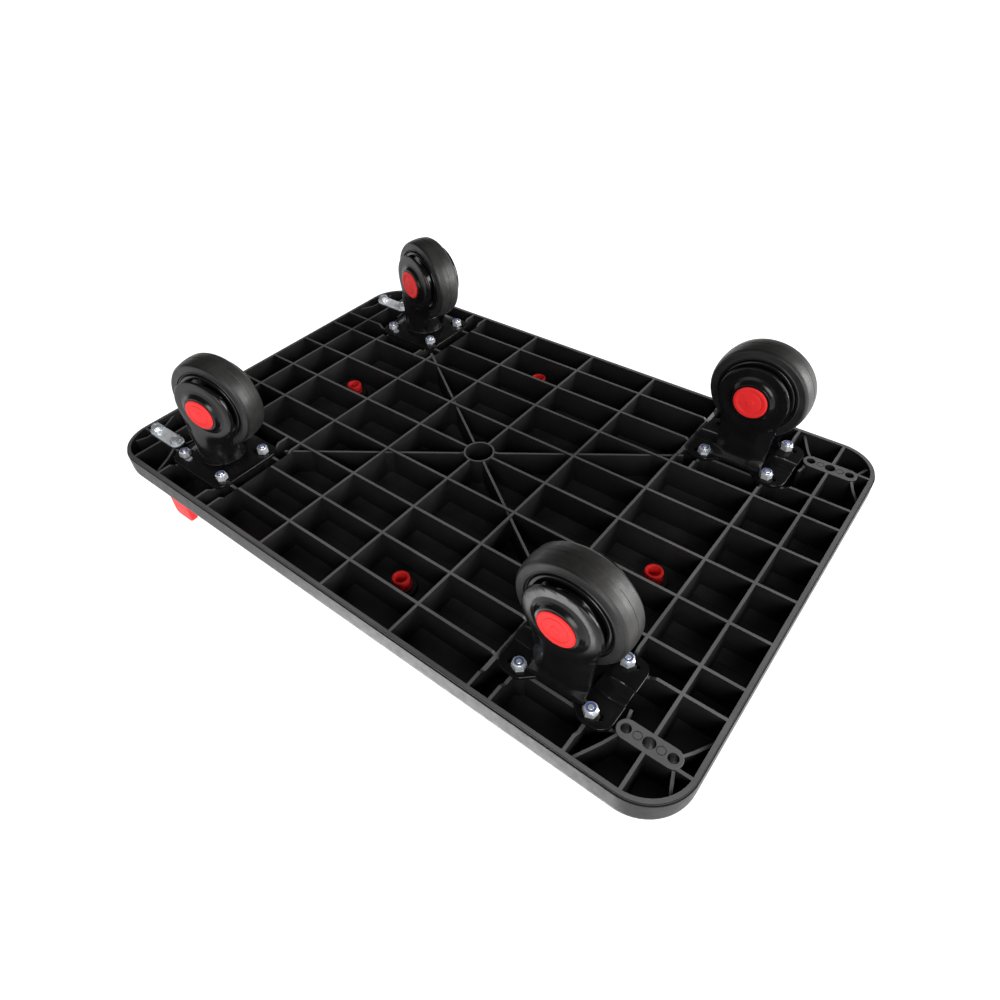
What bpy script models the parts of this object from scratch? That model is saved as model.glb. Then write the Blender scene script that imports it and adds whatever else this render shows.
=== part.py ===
"""Platform trolley: a ribbed plastic deck on two swivel and two rigid casters, with a folding push handle.

Upright on its wheels, metres, +Z up. The origin is on the floor under the middle of the deck, and +X
points away from the handle. The handle is folded down over the deck, and both swivel casters trail
towards the middle of the deck, each turned a little outwards.
"""

import math

import bmesh
import bpy
from mathutils import Matrix, Vector

# Deck
DECK_LENGTH = 0.894
DECK_WIDTH = 0.599
DECK_CORNER_RADIUS = 0.056
DECK_DEPTH = 0.0435
RIM_Z = 0.1623  # the lower edge of the rim, above the floor
DECK_TOP_Z = RIM_Z + DECK_DEPTH
DECK_FLOOR_THICKNESS = 0.004
DECK_CEILING_Z = DECK_TOP_Z - DECK_FLOOR_THICKNESS
TOP_EDGE_RADIUS = 0.018
RIM_STEP_INSET = 0.0012
RIM_STEP_HEIGHT = 0.003
RIM_THICKNESS = 0.0065
RIB_THICKNESS = 0.0035
RIB_DRAFT = 0.0012
# Rib lines by zone, each mirrored about the middle: between the casters, at the ends and round the casters
MIDDLE_RIBS_X = (0.0, 0.1104, 0.2201)
MIDDLE_RIBS_Y = (0.0, 0.0676, 0.1339, 0.1911, 0.2465)
END_RIBS_X = (0.2201, 0.3342, 0.3941)
END_RIBS_Y = (0.0, 0.0676, 0.1339)
CORNER_RIBS_X = (0.2201, 0.2470, 0.3342, 0.3941)
CORNER_RIBS_Y = (0.1339, 0.1740, 0.2460)
HUB_RING_RADIUS = 0.0215
HUB_RING_WALL = 0.0025
SPOKE_ANGLE = math.radians(34.5)
SPOKE_LENGTH = 0.277
SPOKE_DROP = 0.0025
PANEL_LENGTH = 0.450
PANEL_WIDTH = 0.400
PANEL_RISE = 0.0015
PAD_X, PAD_Y = 0.3936, 0.239  # the three-hole pads in the four corners
PAD_LENGTH, PAD_WIDTH = 0.068, 0.022
PAD_HOLE_SPACING = 0.0245
PAD_HOLE_RADIUS = 0.0055
PAD_CENTRE_HOLE_RADIUS = 0.0066
PAD_PROUD = 0.0002
BRACE_DROP = 0.005
PLUG_PLACES = ((-0.290, -0.034), (0.290, 0.034), (-0.055, -0.220), (0.055, 0.220))
PLUG_HOLE_RADIUS = 0.0114
PLUG_BOSS_RADIUS = 0.018
BOSS_RADIUS = 0.010
HEAD_RECESS_RADIUS = 0.009

# Casters
CASTERS = {
    "rear_left": (-0.291, 0.213), "rear_right": (-0.291, -0.213),
    "front_left": (0.291, 0.210), "front_right": (0.291, -0.210),
}
WHEEL_RADIUS = 0.0625
TYRE_HALF_WIDTH = 0.018
AXLE_Z = WHEEL_RADIUS
SWIVEL_TRAIL = 0.0265
SWIVEL_TURN = math.radians(14.0)
MOUNT_Z = 0.1660  # where the caster plates bear on the deck's bosses
RECESS_Z = 0.1680  # the ribs' lower edges over a caster plate
RECESS_X, RECESS_Y = (0.2150, 0.3660), (0.1520, 0.2740)
RECESS_RAMP = 0.007
SWIVEL_PLATE_LENGTH, SWIVEL_PLATE_WIDTH = 0.117, 0.105
RIGID_PLATE_LENGTH, RIGID_PLATE_WIDTH = 0.134, 0.096
PLATE_THICKNESS = 0.0042
DOME_RADIUS, DOME_TOP_RADIUS, DOME_DEPTH = 0.0440, 0.0360, 0.0040
PLATE_CORNER_RADIUS = 0.016
BOLT_SPACING_X, BOLT_SPACING_Y = 0.085, 0.070
SLOT_LENGTH = 0.0208
SLOT_OFFSET = 0.0039  # how far a slot's middle lies outside its bolt
HEAD_RADIUS = 0.044  # the round head of a fork leg
LEG_INNER_Y = 0.0272
LEG_THICKNESS = 0.0032
COLLAR_HEIGHT = 0.0065
CAP_RADIUS = 0.0222
AXLE_RADIUS = 0.005
KINGPIN_RADIUS = 0.006
PIN_BORE_RADIUS = 0.0066
CUP_RADIUS = 0.032
CUP_BOTTOM_Z = 0.1310
CUP_TOP_Z = 0.1570
CROWN_LENGTH = 0.046  # the flat that joins a swivel fork's two legs

# Fasteners
BOLT_RADIUS = 0.004
BOLT_HOLE_RADIUS = 0.0045
HEX_TURN = math.radians(30)  # sets a six-sided prism's corners on X, as a lathe's are
NUT_RADIUS = 0.0082  # half the width across the corners
NUT_HEIGHT = 0.0090
COLLAR_RADIUS = 0.0064  # the nut's rounded end, which holds its locking ring
SCREW_HEAD_RADIUS = 0.0078
WASHER_RADIUS = 0.0095

# Handle
BRACKET_LENGTH = 0.089
BRACKET_WIDTH = 0.054
BRACKET_HEIGHT = 0.101
TOWER_LENGTH = 0.045
PIVOT_RISE = 0.077  # the pivot above the deck
PIVOT_X = -PAD_X
HANDLE_Y = PAD_Y
HANDLE_REACH = 0.690  # from the pivot to the middle of the grip bar
HANDLE_BEND_RADIUS = 0.060
TUBE_RADIUS = 0.016
TUBE_WALL = 0.0017
SLOT_CLEARANCE = 0.0005
TUBE_OVERHANG = 0.010  # how far the tube runs on past its pivot
TURNING_ROOM = 0.0195  # from the pivot to the slot's floor and back wall
PIVOT_BORE_RADIUS = 0.0045
PIVOT_SKIN = 0.0025  # what a bracket's outer cheek leaves over its pivot pin

GAP = 0.0003  # between faces that touch on the real object
ROUND_STEPS = 16
PART_NAME = "platform_trolley"

MATERIALS = {
    "deck_plastic": ((0.028, 0.029, 0.031), 0.42, 0.0),
    "red_plastic": ((0.62, 0.035, 0.04), 0.33, 0.0),
    "black_steel": ((0.018, 0.018, 0.019), 0.25, 0.0),
    "handle_steel": ((0.03, 0.03, 0.032), 0.3, 0.0),
    "zinc_steel": ((0.72, 0.74, 0.77), 0.3, 1.0),
    "tyre_rubber": ((0.085, 0.085, 0.088), 0.6, 0.0),
    "wheel_plastic": ((0.015, 0.015, 0.016), 0.35, 0.0),
}


# ---------------------------------------------------------------- scene and helpers


def clear_scene():
    for obj in list(bpy.data.objects):
        bpy.data.objects.remove(obj, do_unlink=True)


def make_collection(name):
    collection = bpy.data.collections.new(name)
    bpy.context.scene.collection.children.link(collection)
    return collection


def make_materials():
    made = {}
    for name, (colour, roughness, metallic) in MATERIALS.items():
        material = bpy.data.materials.new(name)
        material.use_nodes = True
        shader = material.node_tree.nodes["Principled BSDF"]
        shader.inputs["Base Color"].default_value = (*colour, 1.0)
        shader.inputs["Roughness"].default_value = roughness
        shader.inputs["Metallic"].default_value = metallic
        made[name] = material
    return made


def tool_object(mesh):
    """A mesh in the cutters collection: a shape that is still to be cut, joined or placed."""
    obj = bpy.data.objects.new("tool", mesh)
    bpy.data.collections["cutters"].objects.link(obj)
    obj.hide_render = True
    obj.display_type = "WIRE"
    return obj


def mesh_from_bmesh(bm):
    mesh = bpy.data.meshes.new("shape")
    bm.to_mesh(mesh)
    bm.free()
    return mesh


def bake(obj):
    """Replaces the object's mesh by what its modifiers make of it."""
    bpy.context.view_layer.update()
    evaluated = obj.evaluated_get(bpy.context.evaluated_depsgraph_get())
    baked = bpy.data.meshes.new_from_object(evaluated)
    obj.modifiers.clear()
    obj.data = baked
    return obj


def combine(target, tools, operation):
    """Unites, cuts or intersects target with each tool, and removes the tools."""
    for tool in tools:
        step = target.modifiers.new(operation.lower(), "BOOLEAN")
        step.operation = operation
        step.solver = "EXACT"
        step.object = tool
    bake(target)
    for tool in tools:
        bpy.data.objects.remove(tool, do_unlink=True)
    return target


def box(size, centre, taper=0.0):
    """A box. taper draws each side of its upper face in by that much."""
    bm = bmesh.new()
    bmesh.ops.create_cube(bm, size=1.0)
    bmesh.ops.scale(bm, vec=Vector(size), verts=bm.verts)
    for vert in bm.verts:
        if vert.co.z > 0:
            vert.co.x -= math.copysign(taper, vert.co.x)
            vert.co.y -= math.copysign(taper, vert.co.y)
    bmesh.ops.translate(bm, vec=Vector(centre), verts=bm.verts)
    return tool_object(mesh_from_bmesh(bm))


def cylinder(radius, low, high, centre=(0.0, 0.0), steps=ROUND_STEPS, turn=0.0):
    """An upright cylinder or prism between two heights."""
    bm = bmesh.new()
    bmesh.ops.create_cone(
        bm, cap_ends=True, segments=steps, radius1=radius, radius2=radius, depth=high - low,
        matrix=Matrix.Translation((*centre, (low + high) / 2)) @ Matrix.Rotation(turn, 4, "Z"),
    )
    return tool_object(mesh_from_bmesh(bm))


def merged(tools):
    """One tool object that holds several shapes that don't touch."""
    bm = bmesh.new()
    for tool in tools:
        bm.from_mesh(tool.data)
        bpy.data.objects.remove(tool, do_unlink=True)
    return tool_object(mesh_from_bmesh(bm))


def lathe(profile, steps=ROUND_STEPS):
    """Turns a profile of (radius, height) points about Z, with its outer side running from top to bottom.

    A profile that starts and ends on the axis makes a solid, and any other is closed into a ring.
    """
    points = [(radius, 0.0, height) for radius, height in profile]
    edges = [(i, i + 1) for i in range(len(points) - 1)]
    if profile[0][0] > 0:
        edges.append((len(points) - 1, 0))
    mesh = bpy.data.meshes.new("profile")
    mesh.from_pydata(points, edges, [])
    obj = tool_object(mesh)
    screw = obj.modifiers.new("turn", "SCREW")
    screw.steps = screw.render_steps = steps
    screw.use_merge_vertices = True
    screw.merge_threshold = 0.00001
    return bake(obj)


def rounded_outline(corners, steps=5):
    """A polygon's points, with each (x, y, radius) corner replaced by an arc of that radius."""
    points = []
    count = len(corners)
    for i, (x, y, radius) in enumerate(corners):
        corner = Vector((x, y))
        before = (Vector(corners[i - 1][:2]) - corner).normalized()
        after = (Vector(corners[(i + 1) % count][:2]) - corner).normalized()
        half_angle = before.angle(after) / 2
        if radius == 0:
            points.append(corner)
            continue
        centre = corner + (before + after).normalized() * (radius / math.sin(half_angle))
        start = corner + before * (radius / math.tan(half_angle)) - centre
        end = corner + after * (radius / math.tan(half_angle)) - centre
        sweep = start.angle_signed(end)
        for k in range(steps + 1):
            points.append(centre + Matrix.Rotation(-sweep * k / steps, 2) @ start)
    return points


def rectangle(length, width, radius, centre=(0.0, 0.0), steps=5):
    x, y = length / 2, width / 2
    corners = [(x, -y, radius), (x, y, radius), (-x, y, radius), (-x, -y, radius)]
    return [p + Vector(centre) for p in rounded_outline(corners, steps)]


def slab(outline, low, high):
    """A flat outline in the XY plane made solid between two heights."""
    curve = bpy.data.curves.new("outline", "CURVE")
    curve.dimensions = "2D"
    curve.fill_mode = "BOTH"
    curve.extrude = (high - low) / 2
    spline = curve.splines.new("POLY")
    spline.points.add(len(outline) - 1)
    for point, place in zip(spline.points, outline):
        point.co = (place[0], place[1], 0.0, 1.0)
    spline.use_cyclic_u = True
    obj = curve_to_mesh(curve)
    obj.data.transform(Matrix.Translation((0, 0, (low + high) / 2)))
    return obj


def curve_to_mesh(curve):
    guide = bpy.data.objects.new("guide", curve)
    bpy.data.collections["cutters"].objects.link(guide)
    bpy.context.view_layer.update()
    evaluated = guide.evaluated_get(bpy.context.evaluated_depsgraph_get())
    mesh = bpy.data.meshes.new_from_object(evaluated)
    bpy.data.objects.remove(guide, do_unlink=True)
    bm = bmesh.new()
    bm.from_mesh(mesh)
    bmesh.ops.remove_doubles(bm, verts=bm.verts, dist=0.000001)
    bmesh.ops.dissolve_limit(bm, angle_limit=math.radians(0.1), verts=bm.verts, edges=bm.edges)
    bmesh.ops.recalc_face_normals(bm, faces=bm.faces)
    bm.to_mesh(mesh)
    bm.free()
    return tool_object(mesh)


def moved(tool, matrix):
    """The same tool with its mesh moved."""
    tool.data.transform(matrix)
    return tool


def shade(mesh, angle=32.0):
    mesh.shade_smooth()
    mesh.set_sharp_from_angle(angle=math.radians(angle))


def place(name, mesh, material, location=(0, 0, 0), rotation=(0, 0, 0), parent=None):
    """Adds one named piece to the trolley."""
    obj = bpy.data.objects.new(name, mesh)
    bpy.data.collections[PART_NAME].objects.link(obj)
    if not mesh.materials:
        mesh.materials.append(material)
    obj.location = location
    obj.rotation_euler = rotation
    obj.parent = parent
    return obj


def finished(tool):
    """Takes a shape out of the tools and returns its mesh, shaded."""
    mesh = tool.data
    bpy.data.objects.remove(tool, do_unlink=True)
    mesh.materials.clear()
    shade(mesh)
    return mesh


def empty(name, location, turn=0.0):
    obj = bpy.data.objects.new(name, None)
    bpy.data.collections[PART_NAME].objects.link(obj)
    obj.location = location
    obj.rotation_euler = (0, 0, turn)
    return obj


def four_ways(x, y):
    return [(sx * x, sy * y) for sx in (-1, 1) for sy in (-1, 1)]


# ---------------------------------------------------------------- deck


def roll_top(block, radius, segments):
    """Rounds the edge round a slab's upper face."""
    bm = bmesh.new()
    bm.from_mesh(block.data)
    top = max(v.co.z for v in bm.verts)
    edges = [e for e in bm.edges if all(v.co.z > top - GAP for v in e.verts)]
    bmesh.ops.bevel(
        bm, geom=edges, offset=radius, segments=segments, profile=0.5, affect="EDGES", clamp_overlap=False,
    )
    bm.to_mesh(block.data)
    bm.free()
    return block


def deck_slab():
    """The outer block: a rounded rectangle with a rolled top edge, a stepped rim and a raised panel."""
    outer = rectangle(DECK_LENGTH, DECK_WIDTH, DECK_CORNER_RADIUS, steps=6)
    block = roll_top(slab(outer, RIM_Z + RIM_STEP_HEIGHT, DECK_TOP_Z), TOP_EDGE_RADIUS, 4)
    inset = 2 * RIM_STEP_INSET
    lip = slab(
        rectangle(DECK_LENGTH - inset, DECK_WIDTH - inset, DECK_CORNER_RADIUS - RIM_STEP_INSET, steps=6),
        RIM_Z, RIM_Z + 2 * RIM_STEP_HEIGHT,
    )
    panel = slab(rectangle(PANEL_LENGTH, PANEL_WIDTH, 0.020, steps=2),
                 DECK_TOP_Z - 0.001, DECK_TOP_Z + PANEL_RISE)
    return combine(block, [lip, panel], "UNION")


def cell_grid(lines_x, lines_y):
    """The hollows between rib lines, which narrow upwards by the ribs' draft. The rim has its own thickness."""
    rim = (DECK_LENGTH / 2 - RIM_THICKNESS, DECK_WIDTH / 2 - RIM_THICKNESS)
    low, high = RIM_Z - 0.002, DECK_CEILING_Z

    def faces(lines, rim_line):
        """The inner faces either side of each gap between neighbouring lines."""
        half = RIB_THICKNESS / 2
        lines = sorted(lines)
        return [
            (a + half * (abs(a) < rim_line), b - half * (abs(b) < rim_line)) for a, b in zip(lines, lines[1:])
        ]

    cells = []
    for left, right in faces(lines_x, rim[0]):
        for near, far in faces(lines_y, rim[1]):
            size = (right - left, far - near, high - low)
            cells.append(box(size, ((left + right) / 2, (near + far) / 2, (low + high) / 2), RIB_DRAFT))
    return cells


def deck_inside(grow):
    """The room inside the deck's skin, rounded like its outer edge, and grown into the skin by an amount."""
    inset = 2 * (RIM_THICKNESS - grow)
    radius = DECK_CORNER_RADIUS - RIM_THICKNESS + grow
    outline = rectangle(DECK_LENGTH - inset, DECK_WIDTH - inset, radius, steps=4)
    block = slab(outline, RIM_Z - 0.003, DECK_CEILING_Z + 0.001)
    return roll_top(block, TOP_EDGE_RADIUS - RIM_THICKNESS, 3)


def deck_cells():
    inner_x, inner_y = DECK_LENGTH / 2 - RIM_THICKNESS, DECK_WIDTH / 2 - RIM_THICKNESS
    middle_y = {s * y for y in MIDDLE_RIBS_Y for s in (-1, 1)} | {-inner_y, inner_y}
    end_y = {s * y for y in END_RIBS_Y for s in (-1, 1)}
    cells = cell_grid({s * x for x in MIDDLE_RIBS_X for s in (-1, 1)}, middle_y)
    for sx in (-1, 1):
        cells += cell_grid([sx * x for x in (*END_RIBS_X, inner_x)], end_y)
        for sy in (-1, 1):
            cells += cell_grid(
                [sx * x for x in (*CORNER_RIBS_X, inner_x)], [sy * y for y in (*CORNER_RIBS_Y, inner_y)],
            )
    return combine(merged(cells), [deck_inside(0.0)], "INTERSECT")


def caster_recess(sx, sy):
    """Lowers the ribs round a caster plate, with a ramp all round. The wide face is the lower one."""
    depth = RECESS_Z - RIM_Z
    size = (RECESS_X[1] - RECESS_X[0], RECESS_Y[1] - RECESS_Y[0], depth)
    centre = (sx * sum(RECESS_X) / 2, sy * sum(RECESS_Y) / 2, RIM_Z + depth / 2)
    return box(size, centre, RECESS_RAMP)


def bar(start, end, thickness, low, high):
    """An upright wall between two points of the plan."""
    a, b = Vector(start), Vector(end)
    turn = math.atan2(b.y - a.y, b.x - a.x)
    wall = box(((b - a).length, thickness, high - low), (0, 0, 0))
    middle = (a + b) / 2
    return moved(wall, Matrix.Translation((middle.x, middle.y, (low + high) / 2)) @ Matrix.Rotation(turn, 4, "Z"))


def spokes():
    walls = []
    reach = Vector((math.cos(SPOKE_ANGLE), math.sin(SPOKE_ANGLE)))
    for sx, sy in four_ways(1, 1):
        direction = Vector((sx * reach.x, sy * reach.y))
        start = direction * (HUB_RING_RADIUS - HUB_RING_WALL / 2)
        walls.append(bar(start, direction * SPOKE_LENGTH, RIB_THICKNESS - 0.0003,
                         RIM_Z + SPOKE_DROP, DECK_CEILING_Z + 0.0007))
    return walls


def hub_ring():
    low, high = RIM_Z - PAD_PROUD, DECK_CEILING_Z + 0.0007
    inner = HUB_RING_RADIUS - HUB_RING_WALL
    return lathe([(HUB_RING_RADIUS, high), (HUB_RING_RADIUS, low), (inner, low), (inner, high)])


def corner_pads():
    """The three-hole pads, each with four lower braces that splay out from its ends."""
    braces = (
        ((0.3680, 0.2430), (0.3420, 0.2940)), ((0.3660, 0.2350), (0.3625, 0.2160)),
        ((0.4215, 0.2430), (0.4320, 0.2700)), ((0.4215, 0.2350), (0.4420, 0.1985)),
    )
    parts = []
    high = DECK_CEILING_Z + 0.0007
    for sx, sy in four_ways(1, 1):
        centre = (sx * PAD_X, sy * PAD_Y)
        parts.append(slab(rectangle(PAD_LENGTH, PAD_WIDTH, PAD_WIDTH / 2 - 0.0002, centre, steps=3),
                          RIM_Z - PAD_PROUD, high))
        for start, end in braces:
            brace = bar((sx * start[0], sy * start[1]), (sx * end[0], sy * end[1]),
                        RIB_THICKNESS - 0.0003, RIM_Z + BRACE_DROP, high)
            parts.append(combine(brace, [deck_inside(0.001)], "INTERSECT"))
    return parts


def bolt_bosses():
    return [
        cylinder(BOSS_RADIUS, MOUNT_Z, DECK_CEILING_Z + 0.0007, place, 6, HEX_TURN)
        for place in caster_bolt_places()
    ]


def plug_bosses():
    low = DECK_CEILING_Z - 0.005
    return [
        cylinder(PLUG_BOSS_RADIUS, low, DECK_CEILING_Z + 0.0007, place, steps=12) for place in PLUG_PLACES
    ]


def caster_bolt_places():
    return [
        (x + dx, y + dy)
        for x, y in CASTERS.values()
        for dx, dy in four_ways(BOLT_SPACING_X / 2, BOLT_SPACING_Y / 2)
    ]


def pad_bolt_places():
    return [
        (sx * PAD_X + k * PAD_HOLE_SPACING, sy * PAD_Y)
        for sx, sy in four_ways(1, 1)
        for k in (-1, 1)
    ]


def deck_holes():
    low, high = RIM_Z - 0.004, DECK_TOP_Z + 0.004
    holes = [cylinder(BOLT_HOLE_RADIUS, low, high, place, 6, HEX_TURN) for place in caster_bolt_places()]
    holes += [cylinder(PAD_HOLE_RADIUS, low, high, place, 8) for place in pad_bolt_places()]
    holes += [
        cylinder(PAD_CENTRE_HOLE_RADIUS, low, high, place, steps=8)
        for place in four_ways(PAD_X, PAD_Y)
    ]
    holes += [cylinder(PLUG_HOLE_RADIUS, low, high, place, steps=10) for place in PLUG_PLACES]
    return merged(holes)


def head_recesses():
    depth = 0.0036
    return merged([
        cylinder(HEAD_RECESS_RADIUS, DECK_TOP_Z - depth, DECK_TOP_Z + 0.002, place, 6, HEX_TURN)
        for place in caster_bolt_places()
    ])


def make_deck(materials):
    deck = deck_slab()
    recesses = [caster_recess(sx, sy) for sx, sy in four_ways(1, 1)]
    combine(deck, [deck_cells()], "DIFFERENCE")
    hub_hollow = cylinder(HUB_RING_RADIUS - HUB_RING_WALL / 2, RIM_Z - 0.002, DECK_CEILING_Z)
    combine(deck, [merged(recesses), hub_hollow], "DIFFERENCE")
    bosses = spokes() + [hub_ring()] + corner_pads() + bolt_bosses() + plug_bosses()
    combine(deck, bosses, "UNION")
    combine(deck, [deck_holes(), head_recesses()], "DIFFERENCE")
    place("deck", finished(deck), materials["deck_plastic"])


def make_plugs(materials):
    """Hollow push-in plugs: a flat head on the deck and a barbed barrel in the hollow below it."""
    top = DECK_TOP_Z + 0.0026
    under_head = DECK_TOP_Z + GAP
    barb = DECK_CEILING_Z - 0.0054
    end = RIM_Z + 0.0190
    plug = lathe([
        (0.0, top), (0.0160, top - 0.0006), (0.0160, under_head), (0.0106, under_head),
        (0.0106, barb), (0.0122, barb - 0.0006), (0.0108, end), (0.0076, end),
        (0.0076, DECK_CEILING_Z), (0.0, DECK_CEILING_Z),
    ], steps=10)
    mesh = finished(plug)
    for number, (x, y) in enumerate(PLUG_PLACES, start=1):
        place(f"deck_plug_{number}", mesh, materials["red_plastic"], (x, y, 0))


# ---------------------------------------------------------------- wheels and axles


def wheel_core():
    """Hub, web and rim turned in one, about Z, with the wheel's middle plane at height 0."""
    bore, hub, hub_half = AXLE_RADIUS + 0.0004, 0.0125, 0.0262
    web_half, rim_inner, rim_outer, rim_half = 0.005, 0.0405, 0.0468, 0.0165
    upper = [(hub, hub_half), (hub, web_half), (rim_inner, web_half), (rim_inner, rim_half),
             (rim_outer, rim_half)]
    lower = [(r, -z) for r, z in reversed(upper)]
    return finished(lathe([(bore, hub_half), *upper, *lower, (bore, -hub_half)], steps=12))


def tyre():
    """A solid rubber tyre with flat sides and rounded shoulders."""
    inner = 0.0471
    side = [
        (inner, 0.0155), (0.0530, TYRE_HALF_WIDTH), (0.0590, TYRE_HALF_WIDTH - 0.0004),
        (WHEEL_RADIUS, 0.0110),
    ]
    other = [(r, -z) for r, z in reversed(side)]
    return finished(lathe([*side, *other], steps=24))


def axle():
    """A plain axle with a round head at each end, hidden under the caps."""
    under_head = LEG_INNER_Y + LEG_THICKNESS + GAP
    end = under_head + 0.0024
    upper = [(0.0, end), (0.0080, end), (0.0080, under_head), (AXLE_RADIUS, under_head)]
    lower = [(r, -z) for r, z in reversed(upper)]
    return finished(lathe([*upper, *lower], steps=8))


def cap():
    """A press-in cap, drawn with the wheel's middle plane at height 0: a face and a stem in the collar."""
    stem_low = LEG_INNER_Y + LEG_THICKNESS + 0.0032
    face_low = LEG_INNER_Y + LEG_THICKNESS + COLLAR_HEIGHT + GAP
    face = face_low + 0.0026
    return finished(lathe([
        (0.0, face), (CAP_RADIUS, face - 0.0006), (CAP_RADIUS, face_low), (0.0185, face_low),
        (0.0185, stem_low), (0.0, stem_low),
    ], steps=14))


def place_wheel(name, wheel_parts, materials, parent, x):
    """Core, tyre, axle and both caps of one caster, on an axle along the parent's Y."""
    centre = (x, 0, AXLE_Z)
    along_y = (math.radians(-90), 0, 0)
    against_y = (math.radians(90), 0, 0)
    place(f"{name}_wheel_core", wheel_parts["core"], materials["wheel_plastic"], centre, along_y, parent)
    place(f"{name}_tyre", wheel_parts["tyre"], materials["tyre_rubber"], centre, along_y, parent)
    place(f"{name}_axle", wheel_parts["axle"], materials["zinc_steel"], centre, along_y, parent)
    place(f"{name}_cap_left", wheel_parts["cap"], materials["red_plastic"], centre, along_y, parent)
    place(f"{name}_cap_right", wheel_parts["cap"], materials["red_plastic"], centre, against_y, parent)


# ---------------------------------------------------------------- forks


def upright(tool, y):
    """Stands a flat shape drawn in (x, z) on edge, in the plane at y."""
    return moved(tool, Matrix.Translation((0, y, 0)) @ Matrix.Rotation(math.radians(90), 4, "X"))


def fork_leg(outline, head_x, side):
    """One leg with its round head and the conical collar that holds a cap."""
    low = LEG_INNER_Y
    high = LEG_INNER_Y + LEG_THICKNESS
    leg = slab(outline, -LEG_THICKNESS / 2, LEG_THICKNESS / 2)
    leg = upright(leg, side * (low + high) / 2)
    to_axle = Matrix.Translation((head_x, 0, AXLE_Z)) @ Matrix.Rotation(math.radians(-90 * side), 4, "X")
    head = moved(cylinder(HEAD_RADIUS, low, high, steps=20), to_axle)
    base = high - 0.0005
    top = high + COLLAR_HEIGHT
    collar = moved(lathe([(0.0265, top), (0.0300, base), (0.0200, base), (0.0200, top)], steps=14), to_axle)
    return [leg, head, collar]


def axle_bore(head_x):
    to_axle = Matrix.Translation((head_x, 0, AXLE_Z)) @ Matrix.Rotation(math.radians(90), 4, "X")
    return moved(cylinder(AXLE_RADIUS + 0.0006, -0.06, 0.06, steps=8), to_axle)


def swivel_fork():
    """The turning fork: a cup round the bearing, a floor on the kingpin, and two legs to the axle."""
    floor_z = CUP_BOTTOM_Z + 0.004
    wall = 0.003
    cup = lathe([
        (CUP_RADIUS, CUP_TOP_Z), (CUP_RADIUS, CUP_BOTTOM_Z + 0.002), (CUP_RADIUS - 0.002, CUP_BOTTOM_Z),
        (0.0, CUP_BOTTOM_Z), (0.0, floor_z), (CUP_RADIUS - wall, floor_z), (CUP_RADIUS - wall, CUP_TOP_Z),
    ])
    top = CUP_BOTTOM_Z + 0.0035
    crown = box((CROWN_LENGTH, 2 * (LEG_INNER_Y + LEG_THICKNESS), 0.003), (0, 0, top - 0.0015))
    outline = [
        (-CROWN_LENGTH / 2, top), (-0.017, 0.090), (-0.014, AXLE_Z), (0.061, AXLE_Z), (0.054, 0.098),
        (0.040, 0.118), (CROWN_LENGTH / 2, top),
    ]
    legs = []
    for side in (-1, 1):
        legs += fork_leg(outline, SWIVEL_TRAIL, side)
    fork = combine(cup, [crown, *legs], "UNION")
    pin_bore = cylinder(PIN_BORE_RADIUS, CUP_BOTTOM_Z - 0.004, floor_z + 0.004, steps=16)
    return finished(combine(fork, [pin_bore, axle_bore(SWIVEL_TRAIL)], "DIFFERENCE"))


def bolt_slots():
    """Four slots along X, each reaching outwards from its bolt."""
    slots = []
    for x, y in four_ways(BOLT_SPACING_X / 2 + SLOT_OFFSET, BOLT_SPACING_Y / 2):
        outline = rectangle(SLOT_LENGTH, 2 * BOLT_HOLE_RADIUS, BOLT_HOLE_RADIUS - 0.0002, (x, y), steps=1)
        slots.append(slab(outline, MOUNT_Z - 0.010, MOUNT_Z + 0.010))
    return merged(slots)


def swivel_plate():
    """The fixed top plate with its pressed dome, and the bearing boss that the fork's cup turns round."""
    low, high = MOUNT_Z - GAP - PLATE_THICKNESS, MOUNT_Z - GAP
    outline = rectangle(SWIVEL_PLATE_LENGTH, SWIVEL_PLATE_WIDTH, PLATE_CORNER_RADIUS, steps=3)
    plate = slab(outline, low, high)
    foot, face = CUP_BOTTOM_Z + 0.007, low - DOME_DEPTH
    boss = lathe([
        (0.0, low + 0.001), (DOME_RADIUS, low + 0.001), (DOME_TOP_RADIUS, face), (0.0270, face),
        (0.0270, foot + 0.006), (0.0220, foot), (0.0, foot),
    ])
    pin_bore = cylinder(PIN_BORE_RADIUS, foot - 0.01, high + 0.01, steps=8)
    combine(plate, [boss], "UNION")
    return finished(combine(plate, [bolt_slots(), pin_bore], "DIFFERENCE"))


def kingpin():
    """The pin that holds the fork to the plate, with a head above and a riveted end below."""
    head_low, head_high = MOUNT_Z, MOUNT_Z + 0.005
    end_high, end_low = CUP_BOTTOM_Z - GAP, CUP_BOTTOM_Z - 0.004
    return finished(lathe([
        (0.0, head_high), (0.0090, head_high), (0.0100, head_low), (KINGPIN_RADIUS, head_low),
        (KINGPIN_RADIUS, end_high), (0.0100, end_high), (0.0090, end_low), (0.0, end_low),
    ], steps=10))


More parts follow.
